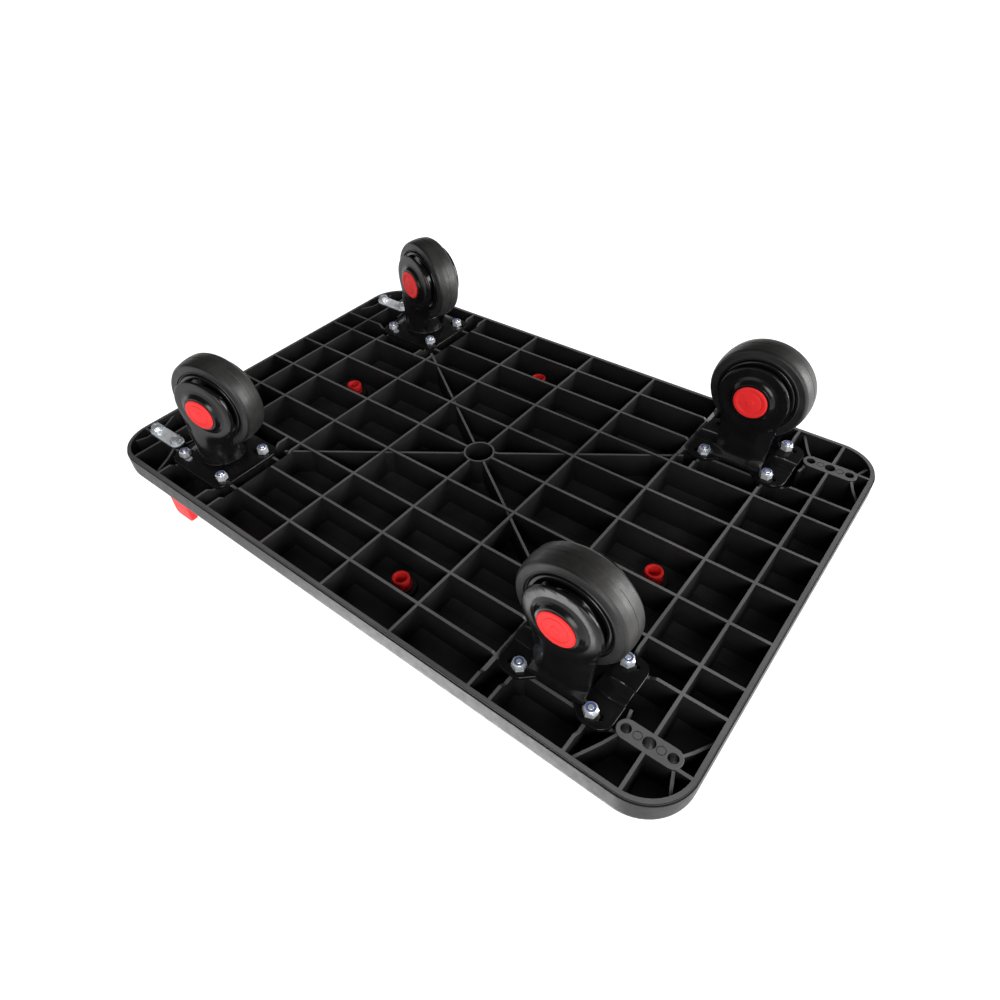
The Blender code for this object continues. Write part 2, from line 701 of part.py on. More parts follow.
def rigid_fork():
    """A pressed plate with four lobes and two legs, all one piece."""
    low, high = MOUNT_Z - GAP - PLATE_THICKNESS, MOUNT_Z - GAP
    x, y = RIGID_PLATE_LENGTH / 2, RIGID_PLATE_WIDTH / 2
    waist = LEG_INNER_Y + LEG_THICKNESS + 0.003
    quarter = [(x, y, PLATE_CORNER_RADIUS), (0.037, y, 0.010), (0.024, waist, 0.010)]
    corners = (
        quarter + [(-px, py, r) for px, py, r in reversed(quarter)]
        + [(-px, -py, r) for px, py, r in quarter] + [(px, -py, r) for px, py, r in reversed(quarter)]
    )
    plate = slab(rounded_outline(corners, steps=3), low, high)
    outline = [
        (-0.031, low + 0.001), (-0.034, 0.115), (-0.036, 0.092), (-0.030, AXLE_Z), (0.030, AXLE_Z),
        (0.036, 0.092), (0.034, 0.115), (0.031, low + 0.001),
    ]
    legs = []
    for side in (-1, 1):
        legs += fork_leg(outline, 0.0, side)
    combine(plate, legs, "UNION")
    return finished(combine(plate, [bolt_slots(), axle_bore(0.0)], "DIFFERENCE"))


def make_casters(materials):
    wheel_parts = {"core": wheel_core(), "tyre": tyre(), "axle": axle(), "cap": cap()}
    fork, plate, pin = swivel_fork(), swivel_plate(), kingpin()
    steel = materials["black_steel"]
    for name, side in (("rear_left", 1), ("rear_right", -1)):
        centre = (*CASTERS[name], 0)
        place(f"{name}_mounting_plate", plate, steel, centre)
        place(f"{name}_kingpin", pin, materials["zinc_steel"], centre)
        swivel = empty(f"{name}_swivel_axis", centre, -side * SWIVEL_TURN)
        place(f"{name}_fork", fork, steel, parent=swivel)
        place_wheel(name, wheel_parts, materials, swivel, SWIVEL_TRAIL)
    fork = rigid_fork()
    for name in ("front_left", "front_right"):
        mount = empty(f"{name}_mount", (*CASTERS[name], 0))
        place(f"{name}_fork", fork, steel, parent=mount)
        place_wheel(name, wheel_parts, materials, mount, 0.0)


# ---------------------------------------------------------------- fasteners


def caster_bolt():
    """A bolt with its head in the deck and a lock nut under the caster plate, all six-sided."""
    head_high, head_low = DECK_TOP_Z - 0.0004, DECK_TOP_Z - 0.0033
    nut_high = MOUNT_Z - GAP - PLATE_THICKNESS - GAP
    nut_low = nut_high - NUT_HEIGHT
    return finished(lathe([
        (0.0, head_high), (HEAD_RECESS_RADIUS - 0.001, head_high), (HEAD_RECESS_RADIUS - 0.001, head_low),
        (BOLT_RADIUS, head_low), (BOLT_RADIUS, nut_high), (NUT_RADIUS, nut_high),
        (NUT_RADIUS, nut_low + 0.0020), (COLLAR_RADIUS, nut_low), (0.0, nut_low),
    ], steps=6))


def strap_bolt():
    """A hexagon bolt that runs up through a strap and the deck into the handle bracket."""
    strap_low = RIM_Z - PAD_PROUD - GAP - 0.003
    washer_high = strap_low - GAP
    washer_low = washer_high - 0.0014
    head_low = washer_low - 0.0052
    end = DECK_TOP_Z + 0.020
    return finished(lathe([
        (0.0, end), (BOLT_RADIUS, end), (BOLT_RADIUS, washer_high), (WASHER_RADIUS, washer_high),
        (WASHER_RADIUS, washer_low), (SCREW_HEAD_RADIUS, washer_low), (SCREW_HEAD_RADIUS, head_low),
        (0.0, head_low),
    ], steps=6))


def strap():
    """A flat clamping strap with two holes, drawn about its own middle."""
    high = RIM_Z - PAD_PROUD - GAP
    body = slab(rectangle(0.067, 0.020, 0.006, steps=2), high - 0.003, high)
    holes = merged([
        cylinder(BOLT_HOLE_RADIUS, high - 0.006, high + 0.003, (x, 0.0), 6, HEX_TURN)
        for x in (-PAD_HOLE_SPACING, PAD_HOLE_SPACING)
    ])
    return finished(combine(body, [holes], "DIFFERENCE"))


def make_fasteners(materials):
    zinc = materials["zinc_steel"]
    bolt = caster_bolt()
    for caster, (x, y) in CASTERS.items():
        for number, (dx, dy) in enumerate(four_ways(BOLT_SPACING_X / 2, BOLT_SPACING_Y / 2), start=1):
            centre = (x + dx, y + dy, 0)
            place(f"{caster}_bolt_{number}", bolt, zinc, centre)
    flat, screw = strap(), strap_bolt()
    for name, side in (("left", 1), ("right", -1)):
        place(f"{name}_strap", flat, zinc, (-PAD_X, side * PAD_Y, 0))
        for number, k in enumerate((-1, 1), start=1):
            centre = (-PAD_X + k * PAD_HOLE_SPACING, side * PAD_Y, 0)
            place(f"{name}_strap_bolt_{number}", screw, zinc, centre)


# ---------------------------------------------------------------- handle


def bracket(side):
    """A moulded hinge bracket: a flared foot, a tower, and a slot that is open on top and towards +X.

    The pin goes in from the deck's middle, and its bore stops short of the cheek on the given side.

    Drawn about the pivot's place on the deck, with the deck's top at height 0.
    """
    foot, tower = BRACKET_LENGTH / 2, TOWER_LENGTH / 2
    side_view = rounded_outline([
        (-foot, GAP, 0), (foot, GAP, 0), (foot, 0.022, 0.006), (tower, 0.050, 0.020),
        (tower, BRACKET_HEIGHT, 0.009), (-tower, BRACKET_HEIGHT, 0.009), (-tower, 0.050, 0.020),
        (-foot, 0.022, 0.006),
    ], steps=2)
    body = upright(slab(side_view, -BRACKET_WIDTH / 2, BRACKET_WIDTH / 2), 0.0)
    slot = box(
        (0.080, 2 * (TUBE_RADIUS + SLOT_CLEARANCE), 0.080),
        (0.040 - TURNING_ROOM, 0, PIVOT_RISE - TURNING_ROOM + 0.040),
    )
    ends = sorted((-side * (BRACKET_WIDTH / 2 - PIVOT_SKIN), side * 0.05))
    pin_bore = moved(cylinder(PIVOT_BORE_RADIUS, *ends, steps=10),
                     Matrix.Translation((0, 0, PIVOT_RISE)) @ Matrix.Rotation(math.radians(90), 4, "X"))
    screw_holes = [
        cylinder(BOLT_HOLE_RADIUS, -0.005, 0.0215, (x, 0.0), 6, HEX_TURN)
        for x in (-PAD_HOLE_SPACING, PAD_HOLE_SPACING)
    ]
    combine(body, [slot], "DIFFERENCE")
    return finished(combine(body, [pin_bore, *screw_holes], "DIFFERENCE"))


def pivot_pin():
    """The bolt through both cheeks of a bracket, along its own Z, with a low head at its upper end."""
    cheek = BRACKET_WIDTH / 2 + GAP
    end = PIVOT_SKIN + GAP - BRACKET_WIDTH / 2
    return finished(lathe([
        (0.0, cheek + 0.004), (0.0075, cheek + 0.004), (0.0075, cheek), (BOLT_RADIUS, cheek),
        (BOLT_RADIUS, end), (0.0, end),
    ], steps=10))


def handle_path(overrun):
    """The middle line of the handle, from one pivot round to the other, in the plane at height 0."""
    bend = HANDLE_BEND_RADIUS
    line = [Vector((-overrun, -HANDLE_Y, 0))]
    corners = (((HANDLE_REACH - bend, -HANDLE_Y + bend), -90), ((HANDLE_REACH - bend, HANDLE_Y - bend), 0))
    steps = 4
    for (cx, cy), first in corners:
        for k in range(steps + 1):
            angle = math.radians(first + 90 * k / steps)
            line.append(Vector((cx + bend * math.cos(angle), cy + bend * math.sin(angle), 0)))
    line.append(Vector((-overrun, HANDLE_Y, 0)))
    return line


def tube(line, radius):
    curve = bpy.data.curves.new("tube", "CURVE")
    curve.dimensions = "3D"
    curve.bevel_depth = radius
    curve.bevel_resolution = 2
    curve.use_fill_caps = True
    spline = curve.splines.new("POLY")
    spline.points.add(len(line) - 1)
    for point, at in zip(spline.points, line):
        point.co = (*at, 1.0)
    return curve_to_mesh(curve)


def make_handle(materials):
    """The bent tube, drawn about the pivots' axis: hollow, open-ended and drilled for the pivot pins."""
    body = tube(handle_path(TUBE_OVERHANG), TUBE_RADIUS)
    bore = tube(handle_path(2 * TUBE_OVERHANG), TUBE_RADIUS - TUBE_WALL)
    pin_bores = [
        moved(cylinder(PIVOT_BORE_RADIUS, y - 0.03, y + 0.03, steps=10), Matrix.Rotation(math.radians(-90), 4, "X"))
        for y in (-HANDLE_Y, HANDLE_Y)
    ]
    combine(body, [bore], "DIFFERENCE")
    combine(body, pin_bores, "DIFFERENCE")
    pivot = (PIVOT_X, 0, DECK_TOP_Z + PIVOT_RISE)
    place("handle_tube", finished(body), materials["handle_steel"], pivot)
    pin = pivot_pin()
    for name, side in (("left", 1), ("right", -1)):
        foot = (PIVOT_X, side * HANDLE_Y, DECK_TOP_Z)
        place(f"{name}_handle_bracket", bracket(side), materials["red_plastic"], foot)
        place(f"{name}_pivot_pin", pin, materials["zinc_steel"],
              (PIVOT_X, side * HANDLE_Y, DECK_TOP_Z + PIVOT_RISE), (side * math.radians(90), 0, 0))


def main():
    clear_scene()
    make_collection(PART_NAME)
    make_collection("cutters")
    materials = make_materials()
    make_deck(materials)
    make_plugs(materials)
    make_casters(materials)
    make_fasteners(materials)
    make_handle(materials)


main()
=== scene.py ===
"""Looks for the platform trolley: finer pieces, materials, floor, lights and camera round the CAD frame."""

import math

import bmesh
import bpy
from mathutils import Matrix, Vector


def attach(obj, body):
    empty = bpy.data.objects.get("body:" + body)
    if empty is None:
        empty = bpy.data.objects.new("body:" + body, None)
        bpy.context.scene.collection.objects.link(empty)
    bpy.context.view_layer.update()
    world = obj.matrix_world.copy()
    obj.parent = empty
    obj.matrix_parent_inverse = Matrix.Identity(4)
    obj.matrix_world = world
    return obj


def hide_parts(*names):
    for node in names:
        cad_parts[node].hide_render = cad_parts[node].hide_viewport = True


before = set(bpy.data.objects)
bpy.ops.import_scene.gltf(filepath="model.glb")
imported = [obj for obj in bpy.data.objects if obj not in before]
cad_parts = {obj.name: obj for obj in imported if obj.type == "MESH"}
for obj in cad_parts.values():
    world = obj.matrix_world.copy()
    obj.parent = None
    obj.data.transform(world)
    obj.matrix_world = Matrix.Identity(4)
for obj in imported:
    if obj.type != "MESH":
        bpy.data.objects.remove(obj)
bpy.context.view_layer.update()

# ---------------------------------------------------------------- sizes, in metres

DECK_LENGTH, DECK_WIDTH, DECK_CORNER = 0.894, 0.599, 0.056
RIM_Z, DECK_TOP_Z, TOP_EDGE = 0.1623, 0.2058, 0.018
CEILING_Z = DECK_TOP_Z - 0.004
RIM_WALL = 0.0065
RIM_STEP_INSET, RIM_STEP_HEIGHT = 0.0012, 0.003
RIB, RIB_DRAFT = 0.0035, 0.0012
MIDDLE_RIBS_X, MIDDLE_RIBS_Y = (0.0, 0.1104, 0.2201), (0.0, 0.0676, 0.1339, 0.1911, 0.2465)
END_RIBS_X, END_RIBS_Y = (0.2201, 0.3342, 0.3941), (0.0, 0.0676, 0.1339)
CORNER_RIBS_X, CORNER_RIBS_Y = (0.2201, 0.2470, 0.3342, 0.3941), (0.1339, 0.1740, 0.2460)
RING_RADIUS, RING_WALL = 0.0215, 0.0025
SPOKE_ANGLE, SPOKE_LENGTH, SPOKE_DROP = math.radians(34.5), 0.277, 0.0025
PAD_X, PAD_Y, PAD_LENGTH, PAD_WIDTH = 0.3936, 0.239, 0.068, 0.022
PAD_HOLE_SPACING = 0.0245
PLUG_PLACES = ((-0.290, -0.034), (0.290, 0.034), (-0.055, -0.220), (0.055, 0.220))
CASTERS = {
    "rear_left": (-0.291, 0.213), "rear_right": (-0.291, -0.213),
    "front_left": (0.291, 0.210), "front_right": (0.291, -0.210),
}
MOUNT_Z, PLATE = 0.1660, 0.0042
RECESS_Z, RECESS_X, RECESS_Y, RECESS_RAMP = 0.1680, (0.2150, 0.3660), (0.1520, 0.2740), 0.007
SWIVEL_PLATE, RIGID_PLATE, PLATE_CORNER = (0.117, 0.105), (0.134, 0.096), 0.016
BOLT_X, BOLT_Y = 0.0425, 0.035
AXLE_Z, TRAIL = 0.0625, 0.0265
TURN = math.radians(14.0)
LEG_FACE = 0.0304  # the outer face of a fork leg, from the wheel's middle plane
HEAD_RADIUS = 0.044
CUP_RADIUS, CUP_BOTTOM_Z = 0.032, 0.1310
PIVOT = (-PAD_X, DECK_TOP_Z + 0.077)
HANDLE_Y, HANDLE_REACH, HANDLE_BEND, TUBE_RADIUS = 0.239, 0.690, 0.060, 0.016
GAP = 0.0003
PLATE_HIGH = MOUNT_Z - GAP
PLATE_LOW = PLATE_HIGH - PLATE

# ---------------------------------------------------------------- materials


def socket(shader, name, value):
    shader.inputs[name].default_value = value


def material(name, colour, roughness, metallic=0.0, specular=0.5):
    """A new Principled material, with its tree and shader node to add detail to."""
    made = bpy.data.materials.new(name)
    made.use_nodes = True
    shader = made.node_tree.nodes["Principled BSDF"]
    socket(shader, "Base Color", (*colour, 1.0))
    socket(shader, "Roughness", roughness)
    socket(shader, "Metallic", metallic)
    socket(shader, "Specular IOR Level", specular)
    return made, made.node_tree, shader


def noise(tree, scale, detail=4.0, roughness=0.55, stretch=(1.0, 1.0, 1.0)):
    """Noise in object space, with a scale in features per metre."""
    place = tree.nodes.new("ShaderNodeTexCoord")
    mapping = tree.nodes.new("ShaderNodeMapping")
    mapping.inputs["Scale"].default_value = stretch
    texture = tree.nodes.new("ShaderNodeTexNoise")
    texture.inputs["Scale"].default_value = scale
    texture.inputs["Detail"].default_value = detail
    texture.inputs["Roughness"].default_value = roughness
    tree.links.new(place.outputs["Object"], mapping.inputs["Vector"])
    tree.links.new(mapping.outputs["Vector"], texture.inputs["Vector"])
    return texture.outputs["Fac"]


def ramp(tree, value, stops):
    """A colour ramp over (position, colour) stops."""
    node = tree.nodes.new("ShaderNodeValToRGB")
    elements = node.color_ramp.elements
    while len(elements) < len(stops):
        elements.new(0.5)
    for element, (position, colour) in zip(elements, stops):
        element.position = position
        element.color = (*colour, 1.0)
    tree.links.new(value, node.inputs["Fac"])
    return node.outputs["Color"]


def spread(tree, value, low, high, start=0.3, end=0.7):
    """Maps a value between start and end onto low and high."""
    node = tree.nodes.new("ShaderNodeMapRange")
    node.inputs["From Min"].default_value = start
    node.inputs["From Max"].default_value = end
    node.inputs["To Min"].default_value = low
    node.inputs["To Max"].default_value = high
    tree.links.new(value, node.inputs["Value"])
    return node.outputs["Result"]


def bump(tree, shader, height, strength, distance):
    node = tree.nodes.new("ShaderNodeBump")
    node.inputs["Strength"].default_value = strength
    node.inputs["Distance"].default_value = distance
    tree.links.new(height, node.inputs["Height"])
    if shader.inputs["Normal"].is_linked:
        before = shader.inputs["Normal"].links[0].from_socket
        tree.links.new(before, node.inputs["Normal"])
    tree.links.new(node.outputs["Normal"], shader.inputs["Normal"])


def moulded(name, dark, light, rough, grain, grain_size, specular=0.5):
    """Moulded plastic: cloudy colour and gloss with a fine grain."""
    made, tree, shader = material(name, light, rough[0], specular=specular)
    cloud = noise(tree, 14.0, 5.0, 0.6)
    tree.links.new(ramp(tree, cloud, [(0.3, dark), (0.7, light)]), shader.inputs["Base Color"])
    fine = noise(tree, 90.0, 3.0)
    tree.links.new(spread(tree, fine, rough[0], rough[1]), shader.inputs["Roughness"])
    bump(tree, shader, noise(tree, grain_size, 2.0), grain, 0.0003)
    return made


def painted(name, dark, light, rough, peel=0.05):
    """Gloss paint on steel: faint orange peel and dust in the gloss."""
    made, tree, shader = material(name, light, rough[0], specular=0.24)
    cloud = noise(tree, 26.0, 6.0, 0.65)
    tree.links.new(ramp(tree, cloud, [(0.35, dark), (0.75, light)]), shader.inputs["Base Color"])
    tree.links.new(spread(tree, noise(tree, 60.0, 5.0), rough[0], rough[1]), shader.inputs["Roughness"])
    bump(tree, shader, noise(tree, 420.0, 2.0), peel, 0.0004)
    return made


def zinc(name, metallic):
    """Bright zinc plating with faint cloudy blue and grey patches."""
    made, tree, shader = material(name, (0.7, 0.73, 0.76), 0.22, metallic=metallic)
    cloud = noise(tree, 60.0, 3.0)
    colours = [(0.3, (0.66, 0.71, 0.78)), (0.5, (0.86, 0.89, 0.92)), (0.72, (0.94, 0.95, 0.95))]
    tree.links.new(ramp(tree, cloud, colours), shader.inputs["Base Color"])
    tree.links.new(spread(tree, noise(tree, 90.0, 3.0), 0.20, 0.32), shader.inputs["Roughness"])
    bump(tree, shader, noise(tree, 500.0, 2.0), 0.03, 0.0002)
    return made


def tyre_rubber(name):
    """Dark grey rubber, with brownish dust on the tread and fine moulding grain."""
    made, tree, shader = material(name, (0.012, 0.012, 0.013), 0.45, specular=0.42)
    place = tree.nodes.new("ShaderNodeTexCoord")
    split = tree.nodes.new("ShaderNodeSeparateXYZ")
    tree.links.new(place.outputs["Object"], split.inputs["Vector"])
    span = tree.nodes.new("ShaderNodeVectorMath")
    span.operation = "LENGTH"
    flat = tree.nodes.new("ShaderNodeCombineXYZ")
    tree.links.new(split.outputs["X"], flat.inputs["X"])
    tree.links.new(split.outputs["Y"], flat.inputs["Y"])
    tree.links.new(flat.outputs["Vector"], span.inputs[0])
    tread = spread(tree, span.outputs["Value"], 0.0, 1.0, 0.0596, 0.0612)
    dust = spread(tree, noise(tree, 55.0, 6.0, 0.7), 0.35, 1.0, 0.35, 0.7)
    amount = tree.nodes.new("ShaderNodeMath")
    amount.operation = "MULTIPLY"
    tree.links.new(tread, amount.inputs[0])
    tree.links.new(dust, amount.inputs[1])
    colours = [(0.3, (0.006, 0.0063, 0.0068)), (0.75, (0.012, 0.0124, 0.0132))]
    rubber = ramp(tree, noise(tree, 40.0, 5.0), colours)
    mix = tree.nodes.new("ShaderNodeMix")
    mix.data_type = "RGBA"
    tree.links.new(amount.outputs["Value"], mix.inputs["Factor"])
    tree.links.new(rubber, mix.inputs["A"])
    mix.inputs["B"].default_value = (0.026, 0.025, 0.023, 1.0)
    tree.links.new(mix.outputs["Result"], shader.inputs["Base Color"])
    tree.links.new(spread(tree, noise(tree, 70.0, 4.0), 0.36, 0.52), shader.inputs["Roughness"])
    bump(tree, shader, noise(tree, 700.0, 3.0), 0.18, 0.0003)
    return made


MATERIALS = {
    "deck": moulded(
        "deck_satin", (0.013, 0.013, 0.0136), (0.021, 0.021, 0.022), (0.36, 0.46), 0.08, 1100.0, 0.15,
    ),
    # painted highlight: the rib edges get a copy of the deck's black plastic made several times lighter,
    # standing in for the light they catch
    "rib": moulded(
        "deck_rib_edge_painted_highlight", (0.098, 0.098, 0.100), (0.145, 0.145, 0.148), (0.50, 0.62), 0.20, 900.0,
    ),
    # painted light: the cell floors get a lighter copy of the deck's plastic, standing in for the soft
    # light on them
    "cell": moulded(
        "deck_cell_painted_light", (0.020, 0.020, 0.0215), (0.055, 0.055, 0.058), (0.32, 0.44), 0.06, 500.0, 0.5,
    ),
    # painted shade: the rib sides get a darker copy of the deck's plastic, standing in for the shade
    # between the ribs
    "wall": moulded(
        "deck_rib_side_painted_shade", (0.009, 0.009, 0.0096), (0.016, 0.016, 0.0168), (0.38, 0.50), 0.06, 500.0, 0.3,
    ),
    "grip": moulded(
        "deck_grip", (0.010, 0.010, 0.011), (0.017, 0.017, 0.018), (0.50, 0.65), 0.5, 700.0,
    ),
    "red": moulded(
        "red_plastic", (0.72, 0.020, 0.022), (0.84, 0.030, 0.030), (0.46, 0.56), 0.06, 800.0, 0.18,
    ),
    "black": painted(
        "black_paint", (0.004, 0.004, 0.0042), (0.008, 0.008, 0.0083), (0.16, 0.26), 0.015,
    ),
    "handle": painted(
        "handle_paint", (0.012, 0.012, 0.013), (0.02, 0.02, 0.021), (0.25, 0.36), 0.12,
    ),
    "zinc": zinc("zinc_plate", 0.68),
    "strap": zinc("zinc_strap", 0.15),
    "blue": moulded("nut_insert", (0.06, 0.10, 0.34), (0.10, 0.15, 0.44), (0.30, 0.4), 0.05, 900.0),
    "tyre": tyre_rubber("tyre_rubber"),
    "core": moulded(
        "wheel_core", (0.003, 0.003, 0.0033), (0.007, 0.007, 0.0075), (0.14, 0.24), 0.05, 600.0,
    ),
}

# ---------------------------------------------------------------- mesh helpers


def object_from(bm, name="shape"):
    mesh = bpy.data.meshes.new(name)
    bm.to_mesh(mesh)
    bm.free()
    obj = bpy.data.objects.new(name, mesh)
    bpy.context.scene.collection.objects.link(obj)
    return obj


def bake(obj):
    """Replaces the object's mesh by what its modifiers make of it."""
    bpy.context.view_layer.update()
    evaluated = obj.evaluated_get(bpy.context.evaluated_depsgraph_get())
    baked = bpy.data.meshes.new_from_object(evaluated)
    obj.modifiers.clear()
    obj.data = baked
    return obj


def combine(target, tools, operation):
    for tool in tools:
        step = target.modifiers.new(operation.lower(), "BOOLEAN")
        step.operation = operation
        step.solver = "EXACT"
        step.object = tool
    bake(target)
    for tool in tools:
        bpy.data.objects.remove(tool, do_unlink=True)
    return target


def moved(obj, matrix):
    obj.data.transform(matrix)
    return obj


def merged(objects):
    """One object that holds the meshes of several, with their materials."""
    bm = bmesh.new()
    slots = []
    for obj in objects:
        numbers = []
        for made in obj.data.materials:
            if made not in slots:
                slots.append(made)
            numbers.append(slots.index(made))
        before = len(bm.faces)
        bm.from_mesh(obj.data)
        bm.faces.ensure_lookup_table()
        for face in bm.faces[before:]:
            face.material_index = numbers[min(face.material_index, len(numbers) - 1)] if numbers else 0
        bpy.data.objects.remove(obj, do_unlink=True)
    whole = object_from(bm)
    for made in slots:
        whole.data.materials.append(made)
    return whole


def painted_with(obj, name):
    obj.data.materials.clear()
    obj.data.materials.append(MATERIALS[name])
    return obj


def box(size, centre, taper=0.0):
    """A box. taper draws each side of its upper face in by that much."""
    bm = bmesh.new()
    bmesh.ops.create_cube(bm, size=1.0)
    bmesh.ops.scale(bm, vec=Vector(size), verts=bm.verts)
    for vert in bm.verts:
        if vert.co.z > 0:
            vert.co.x -= math.copysign(taper, vert.co.x)
            vert.co.y -= math.copysign(taper, vert.co.y)
    bmesh.ops.translate(bm, vec=Vector(centre), verts=bm.verts)
    return object_from(bm)


def cylinder(radius, low, high, centre=(0.0, 0.0), steps=32, turn=0.0):
    bm = bmesh.new()
    bmesh.ops.create_cone(
        bm, cap_ends=True, segments=steps, radius1=radius, radius2=radius, depth=high - low,
        matrix=Matrix.Translation((*centre, (low + high) / 2)) @ Matrix.Rotation(turn, 4, "Z"),
    )
    return object_from(bm)


def lathe(profile, steps=64):
    """Turns a profile of (radius, height) points about Z, its outer side running from top to bottom.

    A profile that starts and ends on the axis makes a solid, and any other is closed into a ring.
    """
    points = [(radius, 0.0, height) for radius, height in profile]
    edges = [(i, i + 1) for i in range(len(points) - 1)]
    if profile[0][0] > 0:
        edges.append((len(points) - 1, 0))
    mesh = bpy.data.meshes.new("profile")
    mesh.from_pydata(points, edges, [])
    obj = bpy.data.objects.new("profile", mesh)
    bpy.context.scene.collection.objects.link(obj)
    screw = obj.modifiers.new("turn", "SCREW")
    screw.steps = screw.render_steps = steps
    screw.use_merge_vertices = True
    screw.merge_threshold = 0.00001
    return bake(obj)


def rounded(points, steps=4):
    """A (radius, height) profile with each (radius, height, fillet) corner rounded."""
    return [tuple(p) for p in outline(points, steps, closed=False)]


def outline(corners, steps=6, closed=True):
    """A polygon's points, with each (x, y, radius) corner replaced by an arc of that radius."""
    points = []
    count = len(corners)
    for i, (x, y, radius) in enumerate(corners):
        corner = Vector((x, y))
        if radius == 0 or (not closed and i in (0, count - 1)):
            points.append(corner)
            continue
        before = (Vector(corners[i - 1][:2]) - corner).normalized()
        after = (Vector(corners[(i + 1) % count][:2]) - corner).normalized()
        half_angle = before.angle(after) / 2
        if half_angle > math.radians(89.5):
            points.append(corner)
            continue
        centre = corner + (before + after).normalized() * (radius / math.sin(half_angle))
        start = corner + before * (radius / math.tan(half_angle)) - centre
        end = corner + after * (radius / math.tan(half_angle)) - centre
        sweep = start.angle_signed(end)
        for k in range(steps + 1):
            points.append(centre + Matrix.Rotation(-sweep * k / steps, 2) @ start)
    return points


def rectangle(length, width, radius, centre=(0.0, 0.0), steps=8):
    x, y = length / 2, width / 2
    corners = [(x, -y, radius), (x, y, radius), (-x, y, radius), (-x, -y, radius)]
    return [p + Vector(centre) for p in outline(corners, steps)]


def slab(points, low, high, soften=0.0, which="both", segments=3):
    """A flat outline made solid between two heights, with its rims rounded by soften."""
    bm = bmesh.new()
    base = [bm.verts.new((p[0], p[1], low)) for p in points]
    face = bm.faces.new(base)
    grown = bmesh.ops.extrude_face_region(bm, geom=[face])
    lifted = [g for g in grown["geom"] if isinstance(g, bmesh.types.BMVert)]
    bmesh.ops.translate(bm, vec=(0, 0, high - low), verts=lifted)
    bmesh.ops.recalc_face_normals(bm, faces=bm.faces)
    if soften:
        middle = (low + high) / 2
        rims = [
            e for e in bm.edges
            if abs(e.verts[0].co.z - e.verts[1].co.z) < GAP
            and (which == "both" or (e.verts[0].co.z < middle) == (which == "low"))
        ]
        bmesh.ops.bevel(bm, geom=rims, offset=soften, segments=segments, profile=0.5,
                        affect="EDGES", clamp_overlap=False)
    return object_from(bm)


def gridded(obj, xs, ys):
    """Cuts a slab's flat faces along lines of constant x and y, so that it can be bent."""
    bm = bmesh.new()
    bm.from_mesh(obj.data)
    for axis, values in ((0, xs), (1, ys)):
        for value in values:
            place, normal = [0, 0, 0], [0, 0, 0]
            place[axis], normal[axis] = value, 1
            everything = bm.verts[:] + bm.edges[:] + bm.faces[:]
            bmesh.ops.bisect_plane(bm, geom=everything, dist=0.00002, plane_co=place, plane_no=normal)
    bm.to_mesh(obj.data)
    bm.free()
    return obj


def spaced(low, high, step):
    return [low + step * k for k in range(int((high - low) / step) + 1)]


def smooth(obj, angle=30.0):
    obj.data.shade_smooth()
    obj.data.set_sharp_from_angle(angle=math.radians(angle))
    return obj


def piece(obj, name, body, slot, *nodes, matrix=None, angle=30.0):
    """Names a finished piece, places it, and hands it to the frame."""
    obj.name = name
    obj.data.name = name
    smooth(obj, angle)
    if matrix is not None:
        obj.matrix_world = matrix
    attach(obj, body)
    if nodes:
        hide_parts(*nodes)
    return obj


def copied(obj):
    twin = obj.copy()
    twin.data = obj.data.copy()
    bpy.context.scene.collection.objects.link(twin)
    return twin


def four_ways(x, y):
    return [(sx * x, sy * y) for sx in (-1, 1) for sy in (-1, 1)]


def ease(value, low, high):
    t = min(1.0, max(0.0, (value - low) / (high - low)))
    return t * t * (3 - 2 * t)


# ---------------------------------------------------------------- deck


def round_edges(block, level, radius, segments):
    """Rounds the edges of a slab that lie at a level."""
    bm = bmesh.new()
    bm.from_mesh(block.data)
    edges = [e for e in bm.edges if all(abs(v.co.z - level) < GAP for v in e.verts)]
    bmesh.ops.bevel(bm, geom=edges, offset=radius, segments=segments, profile=0.5,
                    affect="EDGES", clamp_overlap=False)
    bm.to_mesh(block.data)
    bm.free()
    return block


def deck_block():
    step = RIM_Z + RIM_STEP_HEIGHT
    block = slab(rectangle(DECK_LENGTH, DECK_WIDTH, DECK_CORNER, steps=16), step, DECK_TOP_Z)
    round_edges(block, DECK_TOP_Z, TOP_EDGE, 10)
    round_edges(block, step, 0.0008, 2)
    inset = 2 * RIM_STEP_INSET
    lip = slab(
        rectangle(DECK_LENGTH - inset, DECK_WIDTH - inset, DECK_CORNER - RIM_STEP_INSET, steps=16),
        RIM_Z, RIM_Z + 2 * RIM_STEP_HEIGHT, 0.0006, "low", 2,
    )
    panel = slab(rectangle(0.450, 0.400, 0.020), DECK_TOP_Z - 0.001, DECK_TOP_Z + 0.0015, 0.0007, "high", 2)
    return combine(block, [lip, panel], "UNION")


def cell_grid(lines_x, lines_y):
    """The hollows between rib lines, with the ribs' draft. The rim has its own thickness."""
    low, high = RIM_Z - 0.002, CEILING_Z

    def faces(lines, rim):
        lines = sorted(lines)
        return [
            (a + RIB / 2 * (abs(a) < rim), b - RIB / 2 * (abs(b) < rim)) for a, b in zip(lines, lines[1:])
        ]

    cells = []
    for left, right in faces(lines_x, DECK_LENGTH / 2 - RIM_WALL):
        for near, far in faces(lines_y, DECK_WIDTH / 2 - RIM_WALL):
            size = (right - left, far - near, high - low)
            cells.append(box(size, ((left + right) / 2, (near + far) / 2, (low + high) / 2), RIB_DRAFT))
    return cells


def deck_inside(grow):
    """The room inside the deck's skin, rounded like its outer edge and grown into the skin by an amount."""
    inset, high = 2 * (RIM_WALL - grow), CEILING_Z + 0.001
    points = rectangle(DECK_LENGTH - inset, DECK_WIDTH - inset, DECK_CORNER - RIM_WALL + grow, steps=12)
    return round_edges(slab(points, RIM_Z - 0.003, high), high, TOP_EDGE - RIM_WALL, 6)


